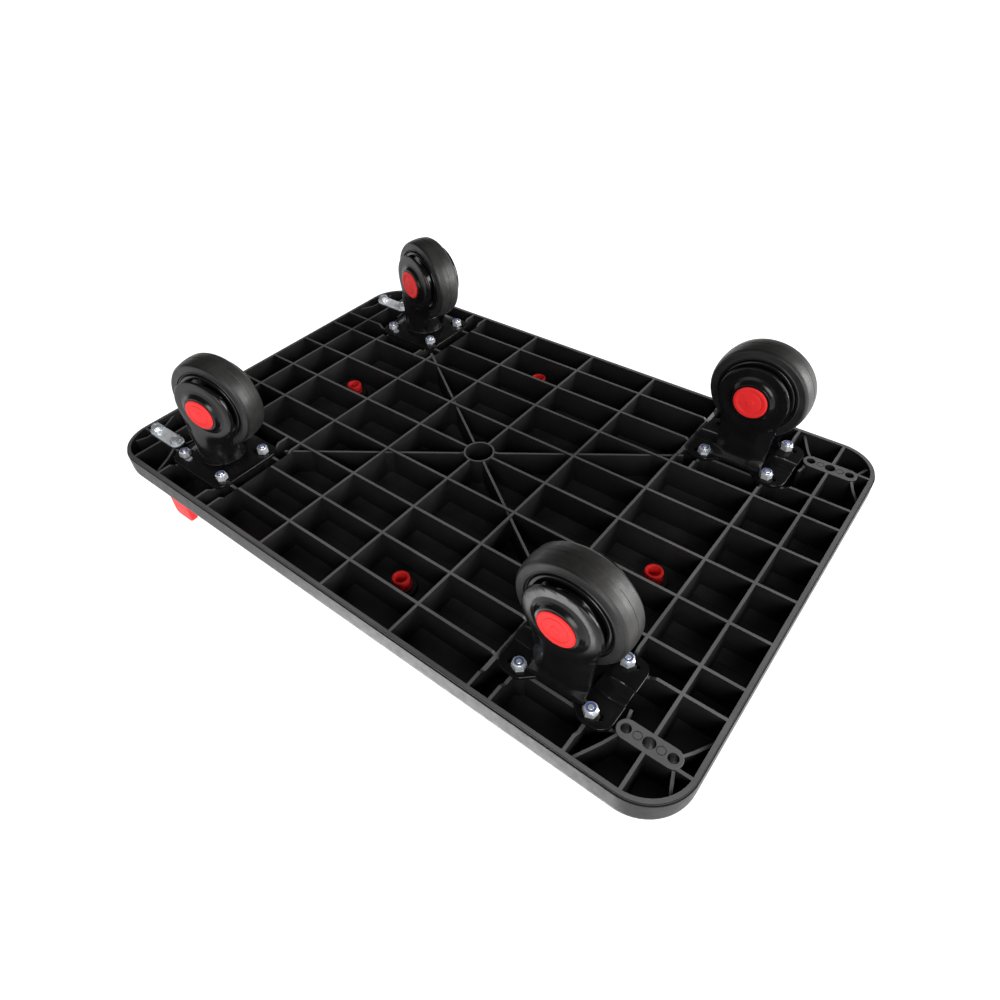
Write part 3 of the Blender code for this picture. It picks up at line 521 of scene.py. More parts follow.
def deck_cells():
    inner_x, inner_y = DECK_LENGTH / 2 - RIM_WALL, DECK_WIDTH / 2 - RIM_WALL
    middle_y = {s * y for y in MIDDLE_RIBS_Y for s in (-1, 1)} | {-inner_y, inner_y}
    end_y = {s * y for y in END_RIBS_Y for s in (-1, 1)}
    cells = cell_grid({s * x for x in MIDDLE_RIBS_X for s in (-1, 1)}, middle_y)
    for sx in (-1, 1):
        cells += cell_grid([sx * x for x in (*END_RIBS_X, inner_x)], end_y)
        for sy in (-1, 1):
            corner_x = [sx * x for x in (*CORNER_RIBS_X, inner_x)]
            corner_y = [sy * y for y in (*CORNER_RIBS_Y, inner_y)]
            cells += cell_grid(corner_x, corner_y)
    return combine(merged(cells), [deck_inside(0.0)], "INTERSECT")


def bar(start, end, thickness, low, high, drops=(0.0, 0.0)):
    """An upright wall between two points of the plan. drops lowers its edge at either end."""
    a, b = Vector(start), Vector(end)
    turn = math.atan2(b.y - a.y, b.x - a.x)
    length = (b - a).length
    wall = box((length, thickness, high - low), (0, 0, (low + high) / 2))
    for vert in wall.data.vertices:
        if vert.co.z < (low + high) / 2:
            vert.co.z += drops[0] if vert.co.x < 0 else drops[1]
    middle = (a + b) / 2
    return moved(wall, Matrix.Translation((middle.x, middle.y, 0)) @ Matrix.Rotation(turn, 4, "Z"))


PAD_BRACES = (
    ((0.3680, 0.2430), (0.3420, 0.2940)), ((0.3660, 0.2350), (0.3625, 0.2160)),
    ((0.4215, 0.2430), (0.4320, 0.2700)), ((0.4215, 0.2350), (0.4420, 0.1985)),
)


def deck_additions():
    high = CEILING_Z + 0.0007
    parts = []
    reach = Vector((math.cos(SPOKE_ANGLE), math.sin(SPOKE_ANGLE)))
    for sx, sy in four_ways(1, 1):
        direction = Vector((sx * reach.x, sy * reach.y))
        start = direction * (RING_RADIUS - RING_WALL / 2)
        ramp_end = direction * (RING_RADIUS + 0.006)
        parts.append(bar(start, direction * SPOKE_LENGTH, 0.0032, RIM_Z + SPOKE_DROP, high))
        parts.append(bar(start, ramp_end, 0.0031, RIM_Z + 0.0004, high - 0.001, (0.0, SPOKE_DROP)))
    inner, ring_low = RING_RADIUS - RING_WALL, RIM_Z - 0.0002
    parts.append(lathe([(RING_RADIUS, high), (RING_RADIUS, ring_low), (inner, ring_low), (inner, high)]))
    for sx, sy in four_ways(1, 1):
        centre = (sx * PAD_X, sy * PAD_Y)
        pad = rectangle(PAD_LENGTH, PAD_WIDTH, PAD_WIDTH / 2 - 0.0002, centre, steps=10)
        parts.append(slab(pad, RIM_Z - 0.0002, high, 0.0006, "low", 2))
        for start, end in PAD_BRACES:
            start, end = (sx * start[0], sy * start[1]), (sx * end[0], sy * end[1])
            brace = bar(start, end, 0.0032, RIM_Z + 0.005, high)
            parts.append(combine(brace, [deck_inside(0.001)], "INTERSECT"))
            near = Vector(start).lerp(Vector(end), 0.42)
            parts.append(bar(start, near, 0.0031, RIM_Z + 0.0006, high - 0.001, (0.0, 0.0045)))
    parts += [cylinder(0.010, MOUNT_Z, high, place, 24) for place in bolt_places()]
    for place in PLUG_PLACES:
        parts.append(lathe([
            (0.0, high), (0.0190, high), (0.0180, CEILING_Z - 0.0044), (0.0172, CEILING_Z - 0.005),
            (0.0, CEILING_Z - 0.005),
        ], 40))
        moved(parts[-1], Matrix.Translation((*place, 0)))
    return parts


def bolt_places():
    return [(x + dx, y + dy) for x, y in CASTERS.values() for dx, dy in four_ways(BOLT_X, BOLT_Y)]


def pad_places(offset):
    return [(sx * PAD_X + k * offset, sy * PAD_Y) for sx, sy in four_ways(1, 1) for k in (-1, 1)]


def deck_holes():
    low, high = RIM_Z - 0.004, DECK_TOP_Z + 0.004
    holes = [cylinder(0.0045, low, high, place, 20) for place in bolt_places()]
    holes += [cylinder(0.0055, low, high, place, 24) for place in pad_places(PAD_HOLE_SPACING)]
    holes += [cylinder(0.0066, low, high, place, 28) for place in four_ways(PAD_X, PAD_Y)]
    holes += [cylinder(0.0114, low, high, place, 32) for place in PLUG_PLACES]
    return merged(holes)


def pad_marks():
    """The shallow round marks between a pad's holes."""
    low, high = RIM_Z - 0.002, RIM_Z + 0.0004
    marks = []
    for place in pad_places(PAD_HOLE_SPACING / 2):
        mark = lathe([(0.0048, high), (0.0048, low), (0.0040, low), (0.0040, high)], 28)
        marks.append(moved(mark, Matrix.Translation((*place, 0))))
    return merged(marks)


def flow_lines():
    """The faint raised lines that run lengthwise over the floors of the cells."""
    lines = []
    edges = sorted({s * y for y in MIDDLE_RIBS_Y for s in (-1, 1)})
    for near, far in zip(edges, edges[1:]):
        for share in (0.36, 0.70):
            lines.append(box((0.874, 0.0009, 0.0008), (0, near + (far - near) * share, CEILING_Z)))
    return lines


def skin_depth(x, y, z):
    """How far a point lies below the deck's outer surface, over its side, rolled edge and top."""
    over_x = abs(x) - (DECK_LENGTH / 2 - DECK_CORNER)
    over_y = abs(y) - (DECK_WIDTH / 2 - DECK_CORNER)
    if over_x > 0 and over_y > 0:
        side = DECK_CORNER - math.hypot(over_x, over_y)
    else:
        side = DECK_CORNER - max(over_x, over_y)
    top = DECK_TOP_Z - z
    if side < TOP_EDGE and top < TOP_EDGE:
        return TOP_EDGE - math.hypot(TOP_EDGE - side, TOP_EDGE - top)
    return min(side, top)


def sort_faces(mesh):
    """Gives each face its material: body 0, rib edges 1, cell floors 2, the top 3, rib sides 4."""
    for face in mesh.polygons:
        x, y, z = face.center
        on_step = abs(z - RIM_Z - RIM_STEP_HEIGHT) < 0.0002 and face.normal.z < -0.999
        inside = skin_depth(x, y, z) > 0.002 and not on_step
        # rib edges: painted highlight
        if inside and z < RECESS_Z + 0.0005 and face.normal.z < -0.35:
            face.material_index = 1
        elif inside and z < CEILING_Z + 0.0005:
            # cell floors: painted light; rib sides: painted shade
            face.material_index = 2 if face.normal.z < -0.5 else 4
        elif z > DECK_TOP_Z - 0.0005:
            face.material_index = 3


def make_deck():
    deck = deck_block()
    recesses = []
    depth = RECESS_Z - RIM_Z
    for sx, sy in four_ways(1, 1):
        size = (RECESS_X[1] - RECESS_X[0], RECESS_Y[1] - RECESS_Y[0], depth)
        centre = (sx * sum(RECESS_X) / 2, sy * sum(RECESS_Y) / 2, RIM_Z + depth / 2)
        recesses.append(box(size, centre, RECESS_RAMP))
    combine(deck, [deck_cells()], "DIFFERENCE")
    hollow = cylinder(RING_RADIUS - RING_WALL / 2, RIM_Z - 0.002, CEILING_Z, steps=40)
    combine(deck, [merged(recesses), hollow], "DIFFERENCE")
    combine(deck, deck_additions() + flow_lines(), "UNION")
    seat = (0.0095, DECK_TOP_Z - 0.0036, DECK_TOP_Z + 0.002)
    seats = merged([cylinder(*seat, place, 32) for place in bolt_places()])
    combine(deck, [deck_holes(), seats, pad_marks()], "DIFFERENCE")
    # the rib, cell and wall materials are copies of the deck's one plastic with painted highlight, painted
    # light and painted shade
    for name in ("deck", "rib", "cell", "grip", "wall"):
        deck.data.materials.append(MATERIALS[name])
    sort_faces(deck.data)
    piece(deck, "deck_moulding", "chassis", "deck_plastic", "deck", angle=28.0)
    even = deck.modifiers.new("even", "WEIGHTED_NORMAL")  # keeps the large flat faces evenly shaded
    even.keep_sharp = True


make_deck()

# ---------------------------------------------------------------- plugs


def make_plugs():
    top, barb, end = DECK_TOP_Z + 0.0026, CEILING_Z - 0.0054, RIM_Z + 0.0192
    profile = rounded([
        (0.0, top, 0), (0.0160, top, 0.0012), (0.0160, DECK_TOP_Z + GAP, 0), (0.0108, DECK_TOP_Z + GAP, 0),
        (0.0108, barb, 0), (0.0127, barb - 0.0004, 0.0003), (0.0120, barb - 0.0030, 0.0005),
        (0.0112, barb - 0.0036, 0.0005), (0.0112, barb - 0.0046, 0.0003), (0.0118, barb - 0.0056, 0.0006),
        (0.0112, end, 0.0012), (0.0078, end, 0.0008), (0.0072, CEILING_Z, 0.0006), (0.0, CEILING_Z, 0),
    ])
    plug = painted_with(lathe(profile, 48), "red")
    for number, (x, y) in enumerate(PLUG_PLACES, start=1):
        twin = copied(plug)
        piece(twin, f"plug_{number}", "chassis", "red_plastic", f"deck_plug_{number}",
              matrix=Matrix.Translation((x, y, 0)))
    bpy.data.objects.remove(plug, do_unlink=True)


make_plugs()

# ---------------------------------------------------------------- wheels


def tyre():
    side = [
        (0.0469, 0.0120, 0), (0.0469, 0.0158, 0.0006), (0.0488, 0.0164, 0.0006),
        (0.0494, 0.0180, 0.0007), (0.0506, 0.0182, 0.0006), (0.0512, 0.0174, 0.0006),
        (0.0580, 0.0172, 0.0012), (0.0592, 0.0166, 0.0008), (0.0612, 0.0136, 0.003),
        (0.0623, 0.0060, 0.004), (0.0625, 0.0007, 0), (0.0621, 0.0003, 0),
    ]
    upper = rounded(side)
    return painted_with(lathe([*upper, *[(r, -z) for r, z in reversed(upper)]], 128), "tyre")


def wheel_core():
    side = [
        (0.0056, 0.0262, 0), (0.0130, 0.0262, 0.001), (0.0130, 0.0215, 0.001), (0.0200, 0.0200, 0.003),
        (0.0250, 0.0090, 0.004), (0.0390, 0.0080, 0.003), (0.0405, 0.0170, 0.001), (0.0425, 0.0185, 0.001),
        (0.0460, 0.0180, 0.0012), (0.0466, 0.0120, 0),
    ]
    upper = rounded(side)
    return painted_with(lathe([*upper, *[(r, -z) for r, z in reversed(upper)]], 96), "core")


def cap():
    """A press-in cap: a low dome with a raised rim, a recessed ring and a plain boss in the middle."""
    face = 0.0385
    profile = rounded([
        (0.0, face - 0.0004, 0), (0.0042, face - 0.0004, 0.0004), (0.0052, face - 0.0009, 0.0003),
        (0.0132, face - 0.0011, 0.0003), (0.0137, face - 0.0016, 0.0002), (0.0146, face - 0.0016, 0.0002),
        (0.0151, face - 0.0011, 0.0003), (0.0188, face - 0.0006, 0.002), (0.0212, face - 0.0014, 0.0009),
        (0.0212, 0.0368, 0), (0.0187, 0.0368, 0), (0.0187, 0.0334, 0), (0.0, 0.0334, 0),
    ])
    return painted_with(lathe(profile, 72), "red")


def axle():
    side = [(0.0, 0.0331, 0), (0.0078, 0.0331, 0.0008), (0.0078, 0.0307, 0), (0.005, 0.0307, 0)]
    upper = rounded(side)
    return painted_with(lathe([*upper, *[(r, -z) for r, z in reversed(upper)]], 32), "zinc")


ALONG_Y = Matrix.Rotation(math.radians(-90), 4, "X")
AGAINST_Y = Matrix.Rotation(math.radians(90), 4, "X")


def make_wheels():
    parts = {"tyre": tyre(), "core": wheel_core(), "cap": cap(), "axle": axle()}
    for name, (x, y) in CASTERS.items():
        swivels = x < 0
        stand = Matrix.Translation((x, y, 0))
        if swivels:
            turned = stand @ Matrix.Rotation(-math.copysign(TURN, y), 4, "Z")
            stand = turned @ Matrix.Translation((TRAIL, 0, 0))
        stand = stand @ Matrix.Translation((0, 0, AXLE_Z))
        holder = f"{name}_swivel" if swivels else "chassis"
        along, against = stand @ ALONG_Y, stand @ AGAINST_Y
        piece(copied(parts["tyre"]), f"{name}_tyre_rubber", f"{name}_wheel", "tyre_rubber",
              f"{name}_tyre", matrix=along, angle=24.0)
        piece(copied(parts["core"]), f"{name}_core", f"{name}_wheel", "wheel_plastic",
              f"{name}_wheel_core", matrix=along)
        piece(copied(parts["axle"]), f"{name}_axle_pin", holder, "zinc_steel",
              f"{name}_axle", matrix=along)
        piece(copied(parts["cap"]), f"{name}_cap_l", holder, "red_plastic",
              f"{name}_cap_left", matrix=along)
        piece(copied(parts["cap"]), f"{name}_cap_r", holder, "red_plastic",
              f"{name}_cap_right", matrix=against)
    for obj in parts.values():
        bpy.data.objects.remove(obj, do_unlink=True)


make_wheels()

# ---------------------------------------------------------------- forks


def leg_points(centre_x, right, left):
    """A closed outline: round the head from its left side to its right, then up and back down the leg."""
    points = []
    first, last = math.radians(168), math.radians(372)
    for k in range(61):
        angle = first + (last - first) * k / 60
        points.append((centre_x + HEAD_RADIUS * math.cos(angle), AXLE_Z + HEAD_RADIUS * math.sin(angle), 0))
    return outline(points + right + left, 6)


def press_leg(points, centre_x, bend):
    """A pressed sheet from an outline in (x, z), drawn lying in XY and bent by bend(x, z)."""
    sheet = slab(points, 0.0, 0.0032, 0.0011, "high", 3)
    xs = spaced(centre_x - 0.048, centre_x + 0.048, 0.004)
    gridded(sheet, xs, spaced(0.0, 0.168, 0.004))
    for vert in sheet.data.vertices:
        x, z, depth = vert.co
        offset = bend(x, z)
        vert.co = (x, LEG_FACE - 0.0032 + depth + offset, z)
    return sheet


def collar():
    """The raised seat round a cap, turned about the axle with the wheel's middle plane at height 0."""
    profile = rounded([
        (0.0216, 0.0360, 0), (0.0240, 0.0358, 0.0010), (0.0260, 0.0330, 0.0008), (0.0282, 0.0313, 0.0014),
        (0.0318, 0.0305, 0.0016), (0.0345, 0.0302, 0), (0.0345, 0.0290, 0), (0.0216, 0.0290, 0),
    ])
    return lathe([(0.0216, 0.0330), *profile], 72)


def rigid_bend(x, z):
    """Behind the fold lines the sheet sweeps back towards the wheel, and at the plate it flares out."""
    away = ease(math.hypot(x, z - AXLE_Z), 0.041, 0.052)
    swept = -0.34 * max(0.0, abs(x) - 0.0155) * away
    flare = 0.0050 * ease(z, 0.147, 0.1630)
    return swept * (1 - 0.75 * ease(z, 0.146, 0.1610)) + flare


def swivel_bend(x, z):
    """The sheet leaves the cup along its curve, flattens towards the head and sweeps back at its folds."""
    away = ease(math.hypot(x - TRAIL, z - AXLE_Z), 0.041, 0.054)
    fold = 0.031 - 0.013 * ease(z, 0.085, 0.125)
    left_fold = -0.004 - 0.006 * ease(z, 0.090, 0.128)
    swept = -0.42 * (max(0.0, x - fold) + 0.5 * max(0.0, left_fold - x)) * away
    onto_cup = ease(z, 0.104, 0.129)
    cup = math.sqrt(max(CUP_RADIUS ** 2 - x * x, 0.0175 ** 2)) - LEG_FACE
    return swept * (1 - onto_cup) + (cup + 0.0002) * onto_cup


def both_sides(make):
    """A shape and its mirror image across the wheel's middle plane, facing out."""
    near, far = make(), make()
    moved(far, Matrix.Scale(-1, 4, (0, 1, 0)))
    far.data.flip_normals()
    return [near, far]


def swivel_leg():
    right = [
        (0.0600, 0.0930, 0.010), (0.0495, 0.1060, 0.020), (0.0425, 0.1240, 0), (0.0335, 0.1420, 0),
        (0.0290, 0.1500, 0), (0.0100, 0.1500, 0),
    ]
    left = [(-0.0250, 0.1500, 0), (-0.0270, 0.1340, 0.010), (-0.0170, 0.0960, 0.020)]
    return press_leg(leg_points(TRAIL, right, left), TRAIL, swivel_bend)


def rigid_leg():
    right = [(0.0385, 0.0900, 0.012), (0.0345, 0.1150, 0.020), (0.0330, 0.1560, 0.006), (0.0365, 0.1635, 0)]
    left = [(-x, z, r) for x, z, r in reversed(right)]
    return press_leg(leg_points(0.0, right, left), 0.0, rigid_bend)


def head_collars(centre_x):
    return both_sides(lambda: moved(collar(), Matrix.Translation((centre_x, 0, AXLE_Z)) @ ALONG_Y))


def swivel_fork():
    inner, rim, bottom = CUP_RADIUS - 0.003, 0.1568, CUP_BOTTOM_Z
    cup = lathe(rounded([
        (CUP_RADIUS + 0.0006, rim, 0.0006), (CUP_RADIUS, 0.1548, 0.001),
        (CUP_RADIUS - 0.0004, bottom, 0.0022), (0.0180, bottom, 0.002), (0.0165, bottom + 0.001, 0),
        (0.0066, bottom + 0.001, 0), (0.0066, bottom + 0.004, 0), (inner, bottom + 0.004, 0),
        (inner, rim, 0),
    ]), 96)
    whole = merged([cup, *both_sides(swivel_leg), *head_collars(TRAIL)])
    return painted_with(whole, "black")


def plate_slots(offset):
    slots = []
    for x, y in four_ways(BOLT_X + offset, BOLT_Y):
        slots.append(slab(rectangle(0.0200, 0.0092, 0.0045, (x, y), 8), 0.150, 0.180))
    return merged(slots)


def dome_pockets():
    high = PLATE_LOW - 0.0001
    return merged([cylinder(0.0118, 0.150, high, place, 48) for place in four_ways(BOLT_X, BOLT_Y)])


def swivel_plate():
    """The fixed plate, pressed into a low dome round the bearing with a clear pocket for each nut."""
    low, high = PLATE_LOW, PLATE_HIGH
    plate = slab(rectangle(*SWIVEL_PLATE, PLATE_CORNER, steps=10), low, high, 0.0010, "low", 3)
    dome = lathe(rounded([
        (0.0, high - 0.0008, 0), (0.0560, high - 0.0008, 0), (0.0530, low, 0.004),
        (0.0420, low - 0.0034, 0.008), (0.0360, low - 0.0040, 0.002), (0.0, low - 0.0040, 0),
    ], 5), 96)
    limit = slab(rectangle(SWIVEL_PLATE[0] - 0.004, SWIVEL_PLATE[1] - 0.004, PLATE_CORNER), 0.150, 0.180)
    combine(dome, [limit], "INTERSECT")
    combine(dome, [dome_pockets()], "DIFFERENCE")
    combine(plate, [dome], "UNION")
    bearing = lathe([(0.0, 0.160), (0.0270, 0.160), (0.0270, 0.1440), (0.0220, 0.1380), (0.0, 0.1380)], 48)
    combine(plate, [bearing], "UNION")
    pin = cylinder(0.0066, 0.120, 0.190, steps=24)
    return painted_with(combine(plate, [plate_slots(0.0040), pin], "DIFFERENCE"), "black")


def bead(side):
    """The half-round bead pressed out of a rigid plate, from the legs to the plate's end."""
    profile = rounded([
        (0.0, 0.0180, 0), (0.0112, 0.0180, 0.0014), (0.0125, 0.0, 0.02), (0.0112, -0.0180, 0.0014),
        (0.0, -0.0180, 0),
    ], 8)
    along = Matrix.Translation((side * 0.0490, 0, PLATE_LOW + 0.0008)) @ Matrix.Scale(0.46, 4, (0, 0, 1))
    return moved(lathe(profile, 48), along @ Matrix.Rotation(math.radians(90), 4, "Y"))


def rigid_fork():
    x, y, waist = RIGID_PLATE[0] / 2, RIGID_PLATE[1] / 2, 0.0320
    quarter = [(x, y, PLATE_CORNER), (0.0360, y, 0.013), (0.0190, waist, 0.009)]
    corners = (
        quarter + [(-px, py, r) for px, py, r in reversed(quarter)]
        + [(-px, -py, r) for px, py, r in quarter] + [(px, -py, r) for px, py, r in reversed(quarter)]
    )
    plate = slab(outline(corners, 8), PLATE_LOW, PLATE_HIGH, 0.0010, "low", 3)
    combine(plate, [plate_slots(0.0040)], "DIFFERENCE")
    whole = merged([plate, bead(-1), bead(1), *both_sides(rigid_leg), *head_collars(0.0)])
    return painted_with(whole, "black")


def kingpin():
    low, high = CUP_BOTTOM_Z - 0.004, MOUNT_Z + 0.005
    profile = rounded([
        (0.0, high, 0), (0.0100, high, 0.002), (0.0100, MOUNT_Z, 0), (0.0060, MOUNT_Z, 0),
        (0.0060, CUP_BOTTOM_Z - GAP, 0), (0.0100, CUP_BOTTOM_Z - GAP, 0), (0.0094, low, 0.002),
        (0.0, low, 0),
    ])
    return painted_with(lathe(profile, 40), "zinc")


def make_forks():
    fork, plate, pin = swivel_fork(), swivel_plate(), kingpin()
    for name in ("rear_left", "rear_right"):
        stand = Matrix.Translation((*CASTERS[name], 0))
        turned = stand @ Matrix.Rotation(-math.copysign(TURN, CASTERS[name][1]), 4, "Z")
        piece(copied(fork), f"{name}_pressed_fork", f"{name}_swivel", "black_steel",
              f"{name}_fork", matrix=turned)
        piece(copied(plate), f"{name}_top_plate", "chassis", "black_steel",
              f"{name}_mounting_plate", matrix=stand)
        piece(copied(pin), f"{name}_pin", "chassis", "zinc_steel", f"{name}_kingpin", matrix=stand)
    rigid = rigid_fork()
    for name in ("front_left", "front_right"):
        stand = Matrix.Translation((*CASTERS[name], 0))
        piece(copied(rigid), f"{name}_pressed_fork", "chassis", "black_steel", f"{name}_fork", matrix=stand)
    for obj in (fork, plate, pin, rigid):
        bpy.data.objects.remove(obj, do_unlink=True)


make_forks()

# ---------------------------------------------------------------- fasteners


def hexagon(across, low, high, chamfer_low, centre_turn=0.0):
    """A hexagon prism across its flats, with its lower corners turned off."""
    prism = cylinder(across / math.sqrt(3), low, high, steps=6, turn=centre_turn)
    radius = across / 2
    turned = lathe([
        (0.0, high + 0.001), (radius * 1.3, high + 0.001), (radius * 1.3, low + chamfer_low * 1.9),
        (radius * 0.94, low - 0.0001), (0.0, low - 0.0001),
    ], 64)
    return combine(prism, [turned], "INTERSECT")


def washer(radius, low, high, bore=0.0042):
    profile = rounded([
        (radius, high, 0.0002), (radius, low, 0.0004), (bore, low, 0), (bore, high, 0),
    ])
    return lathe([(radius - 0.001, high), *profile], 48)


def threaded(radius, low, high, pitch=0.00125):
    """A bolt's threaded end, turned as a row of ridges."""
    points = [(0.0, high), (radius, high)]
    count = int((high - low - 0.001) / pitch)
    for k in range(count):
        top = high - k * pitch
        points += [
            (radius, top - 0.25 * pitch), (radius - 0.0005, top - 0.62 * pitch), (radius, top - pitch),
        ]
    points += [(radius - 0.0009, low), (0.0, low)]
    return lathe(points, 36)


def caster_bolt():
    """A domed head in the deck, and a lock nut with its blue ring under the plate."""
    high = DECK_TOP_Z - 0.0004
    head = lathe(rounded([
        (0.0, high, 0), (0.0088, high - 0.0006, 0.002), (0.0088, DECK_TOP_Z - 0.0033, 0),
        (0.004, DECK_TOP_Z - 0.0033, 0), (0.004, 0.160, 0), (0.0, 0.160, 0),
    ]), 40)
    seat = PLATE_LOW - GAP
    nut = hexagon(0.0142, seat - 0.0066, seat, 0.0008)
    crown_high, crown_low = seat - 0.0060, seat - 0.0091
    crown = lathe(rounded([
        (0.0067, crown_high, 0), (0.0065, crown_low, 0.0014), (0.0056, crown_low, 0),
        (0.0055, crown_low + 0.0006, 0), (0.0040, crown_low + 0.0006, 0), (0.0040, crown_high, 0),
    ], 6), 48)
    ring = painted_with(lathe([
        (0.0057, crown_low + 0.0022), (0.0056, crown_low + 0.0002), (0.0038, crown_low + 0.0001),
        (0.0038, crown_low + 0.0022),
    ], 40), "blue")
    thread = threaded(0.0037, crown_low - 0.0002, 0.162)
    metal = [painted_with(obj, "zinc") for obj in (head, nut, crown, thread)]
    return merged([*metal, ring])


def strap_bolt():
    """A flanged hexagon head with a dished middle, under a strap."""
    high = RIM_Z - 0.0002 - GAP - 0.003 - GAP
    plain = washer(0.0095, high - 0.0014, high)
    head = hexagon(0.0130, high - 0.0066, high - 0.0014, 0.0006)
    dish = lathe(rounded([
        (0.0, high - 0.0062, 0), (0.0030, high - 0.0061, 0.001), (0.0044, high - 0.0070, 0.001),
        (0.0, high - 0.009, 0),
    ]), 32)
    combine(head, [dish], "DIFFERENCE")
    shank = threaded(0.0039, high - 0.002, DECK_TOP_Z + 0.020)
    return painted_with(merged([plain, head, shank]), "zinc")


def strap():
    high = RIM_Z - 0.0002 - GAP
    body = slab(rectangle(0.067, 0.020, 0.0080), high - 0.003, high, 0.0006, "low", 2)
    holes = [
        cylinder(0.0045, high - 0.006, high + 0.003, (k * PAD_HOLE_SPACING, 0), 20) for k in (-1, 1)
    ]
    return painted_with(combine(body, [merged(holes)], "DIFFERENCE"), "strap")


def make_fasteners():
    bolt, screw, flat = caster_bolt(), strap_bolt(), strap()
    for index, (caster, (x, y)) in enumerate(CASTERS.items()):
        for number, (dx, dy) in enumerate(four_ways(BOLT_X, BOLT_Y), start=1):
            turn = Matrix.Rotation(0.7 * number + 1.3 * index, 4, "Z")
            place = Matrix.Translation((x + dx, y + dy, 0)) @ turn
            piece(copied(bolt), f"{caster}_bolt_and_nut_{number}", "chassis", "zinc_steel",
                  f"{caster}_bolt_{number}", matrix=place)
    for name, side in (("left", 1), ("right", -1)):
        piece(copied(flat), f"{name}_clamp_strap", "chassis", "zinc_steel", f"{name}_strap",
              matrix=Matrix.Translation((-PAD_X, side * PAD_Y, 0)))
        for number, k in enumerate((-1, 1), start=1):
            place = Matrix.Translation((-PAD_X + k * PAD_HOLE_SPACING, side * PAD_Y, 0))
            turn = Matrix.Rotation(0.5 * number + side, 4, "Z")
            piece(copied(screw), f"{name}_strap_screw_{number}", "chassis", "zinc_steel",
                  f"{name}_strap_bolt_{number}", matrix=place @ turn)
    for obj in (bolt, screw, flat):
        bpy.data.objects.remove(obj, do_unlink=True)


make_fasteners()

# ---------------------------------------------------------------- handle


def bracket(side):
    """A hinge bracket with a slot for the tube, and a pin bore that stops in its outer cheek."""
    foot, tower, height = 0.0445, 0.0225, 0.101
    side_view = outline([
        (-foot, GAP, 0), (foot, GAP, 0), (foot, 0.022, 0.006), (tower, 0.050, 0.020),
        (tower, height, 0.009), (-tower, height, 0.009), (-tower, 0.050, 0.020), (-foot, 0.022, 0.006),
    ], 8)
    body = slab(side_view, -0.027, 0.027, 0.0022, "both", 3)
    moved(body, Matrix.Rotation(math.radians(90), 4, "X"))
    reach, pivot = 0.0195, PIVOT[1] - DECK_TOP_Z
    slot = box((0.080, 0.033, 0.080), (0.040 - reach, 0, pivot - reach + 0.040))
    ends = sorted((-side * 0.0245, side * 0.05))
    bore = moved(cylinder(0.0045, *ends), Matrix.Translation((0, 0, pivot)) @ AGAINST_Y)
    screws = [cylinder(0.0045, -0.005, 0.0215, (k * PAD_HOLE_SPACING, 0)) for k in (-1, 1)]
    combine(body, [slot], "DIFFERENCE")
    return painted_with(combine(body, [bore, *screws], "DIFFERENCE"), "red")


def pivot_pin():
    return painted_with(lathe(rounded([
        (0.0, 0.0313, 0), (0.0042, 0.0313, 0.0005), (0.0075, 0.0303, 0.001), (0.0075, 0.0273, 0),
        (0.004, 0.0273, 0), (0.004, -0.0242, 0.0006), (0.0, -0.0242, 0),
    ]), 40), "zinc")


def tube(overrun, radius):
    bend, reach, y = HANDLE_BEND, HANDLE_REACH, HANDLE_Y
    line = [Vector((-overrun, -y, 0))]
    for (cx, cy), first in (((reach - bend, -y + bend), -90), ((reach - bend, y - bend), 0)):
        for k in range(13):
            angle = math.radians(first + 90 * k / 12)
            line.append(Vector((cx + bend * math.cos(angle), cy + bend * math.sin(angle), 0)))
    line.append(Vector((-overrun, y, 0)))
    curve = bpy.data.curves.new("tube", "CURVE")
    curve.dimensions = "3D"
    curve.bevel_depth = radius
    curve.bevel_resolution = 7
    curve.use_fill_caps = True
    spline = curve.splines.new("POLY")
    spline.points.add(len(line) - 1)
    for point, at in zip(spline.points, line):
        point.co = (*at, 1.0)
    guide = bpy.data.objects.new("guide", curve)
    bpy.context.scene.collection.objects.link(guide)
    bpy.context.view_layer.update()
    evaluated = guide.evaluated_get(bpy.context.evaluated_depsgraph_get())
    mesh = bpy.data.meshes.new_from_object(evaluated)
    bpy.data.objects.remove(guide, do_unlink=True)
    bm = bmesh.new()
    bm.from_mesh(mesh)
    bmesh.ops.remove_doubles(bm, verts=bm.verts, dist=0.000001)
    bmesh.ops.recalc_face_normals(bm, faces=bm.faces)
    return object_from(bm)


def make_handle():
    body = tube(0.010, TUBE_RADIUS)
    bores = [moved(cylinder(0.0045, y - 0.03, y + 0.03), ALONG_Y) for y in (-HANDLE_Y, HANDLE_Y)]
    combine(body, [tube(0.020, TUBE_RADIUS - 0.0017)], "DIFFERENCE")
    combine(body, bores, "DIFFERENCE")
    piece(painted_with(body, "handle"), "push_handle", "handle", "handle_steel", "handle_tube",
          matrix=Matrix.Translation((PIVOT[0], 0, PIVOT[1])))
    pin = pivot_pin()
    for name, side in (("left", 1), ("right", -1)):
        foot = Matrix.Translation((-PAD_X, side * HANDLE_Y, DECK_TOP_Z))
        piece(bracket(side), f"{name}_hinge_bracket", "chassis", "red_plastic",
              f"{name}_handle_bracket", matrix=foot)
        facing = AGAINST_Y if side > 0 else ALONG_Y
        axis = Matrix.Translation((PIVOT[0], side * HANDLE_Y, PIVOT[1])) @ facing
        piece(copied(pin), f"{name}_hinge_pin", "chassis", "zinc_steel", f"{name}_pivot_pin", matrix=axis)
    bpy.data.objects.remove(pin, do_unlink=True)


make_handle()

# ---------------------------------------------------------------- floor, light and camera

WORLD_BELOW, WORLD_ABOVE = 0.10, 1.35  # the world's strength under and over the horizon


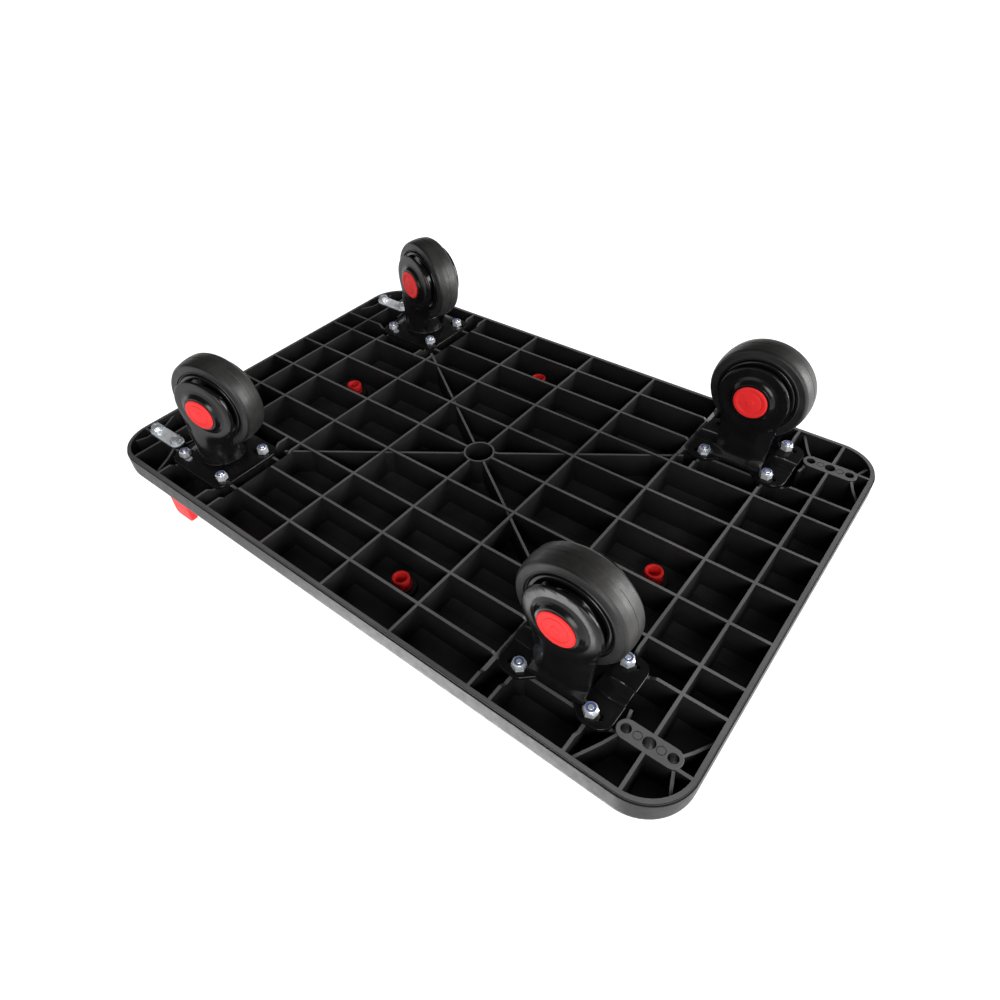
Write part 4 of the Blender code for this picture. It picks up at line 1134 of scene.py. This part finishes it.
def make_floor():
    """A pale floor, seen from above. From below, where the main camera is, it is clear."""
    bm = bmesh.new()
    bmesh.ops.create_circle(bm, cap_ends=True, segments=96, radius=14.0)
    floor = object_from(bm, "floor")
    made, tree, shader = material("pale_floor", (0.62, 0.62, 0.61), 0.6)
    colours = [(0.3, (0.52, 0.52, 0.515)), (0.7, (0.56, 0.56, 0.555))]
    tree.links.new(ramp(tree, noise(tree, 3.0, 6.0), colours), shader.inputs["Base Color"])
    clear = tree.nodes.new("ShaderNodeBsdfTransparent")
    side = tree.nodes.new("ShaderNodeNewGeometry")
    mix = tree.nodes.new("ShaderNodeMixShader")
    output = tree.nodes["Material Output"]
    tree.links.new(side.outputs["Backfacing"], mix.inputs["Fac"])
    tree.links.new(shader.outputs["BSDF"], mix.inputs[1])
    tree.links.new(clear.outputs["BSDF"], mix.inputs[2])
    tree.links.new(mix.outputs["Shader"], output.inputs["Surface"])
    floor.data.materials.append(made)
    floor.visible_shadow = False
    floor.visible_diffuse = False
    floor.visible_glossy = False


def soft_box(name, place, target, size, power):
    light = bpy.data.lights.new(name, "AREA")
    light.shape = "RECTANGLE"
    light.size = light.size_y = size
    light.energy = power
    obj = bpy.data.objects.new(name, light)
    bpy.context.scene.collection.objects.link(obj)
    obj.location = place
    obj.rotation_euler = (Vector(target) - Vector(place)).to_track_quat("-Z", "Y").to_euler()
    obj.visible_camera = False


def make_world():
    """White above the horizon, dim below it."""
    world = bpy.data.worlds.new("studio")
    bpy.context.scene.world = world
    world.use_nodes = True
    tree = world.node_tree
    background = tree.nodes["Background"]
    place = tree.nodes.new("ShaderNodeTexCoord")
    split = tree.nodes.new("ShaderNodeSeparateXYZ")
    tree.links.new(place.outputs["Generated"], split.inputs["Vector"])
    background.inputs["Color"].default_value = (1.0, 1.0, 1.0, 1.0)
    strength = spread(tree, split.outputs["Z"], WORLD_BELOW, WORLD_ABOVE, -0.20, -0.04)
    tree.links.new(strength, background.inputs["Strength"])


CAMERA_PLACE = (0.4888, 0.5641, -0.4508)
CAMERA_TURN = (-133.570, -2.639, -38.663)  # degrees
CAMERA_LENS = 25.083  # millimetres, on a 36 mm sensor

make_floor()
make_world()
soft_box("key_below", (2.0, 2.2, -1.1), (0, 0, 0.16), 1.7, 74)
soft_box("side_right", (2.5, -1.4, -0.65), (0.1, 0, 0.12), 1.7, 105)
soft_box("over", (-0.6, 0.8, 2.2), (0, 0, 0.2), 1.5, 30)

camera_data = bpy.data.cameras.new("camera")
camera_data.lens = CAMERA_LENS
camera_data.sensor_width = 36.0
camera_data.shift_x = 0.0201
camera_data.shift_y = 0.0018
camera_data.clip_start = 0.01
camera = bpy.data.objects.new("camera", camera_data)
bpy.context.scene.collection.objects.link(camera)
camera.location = CAMERA_PLACE
camera.rotation_euler = [math.radians(a) for a in CAMERA_TURN]
bpy.context.scene.camera = camera
bpy.context.scene.view_settings.view_transform = "Standard"
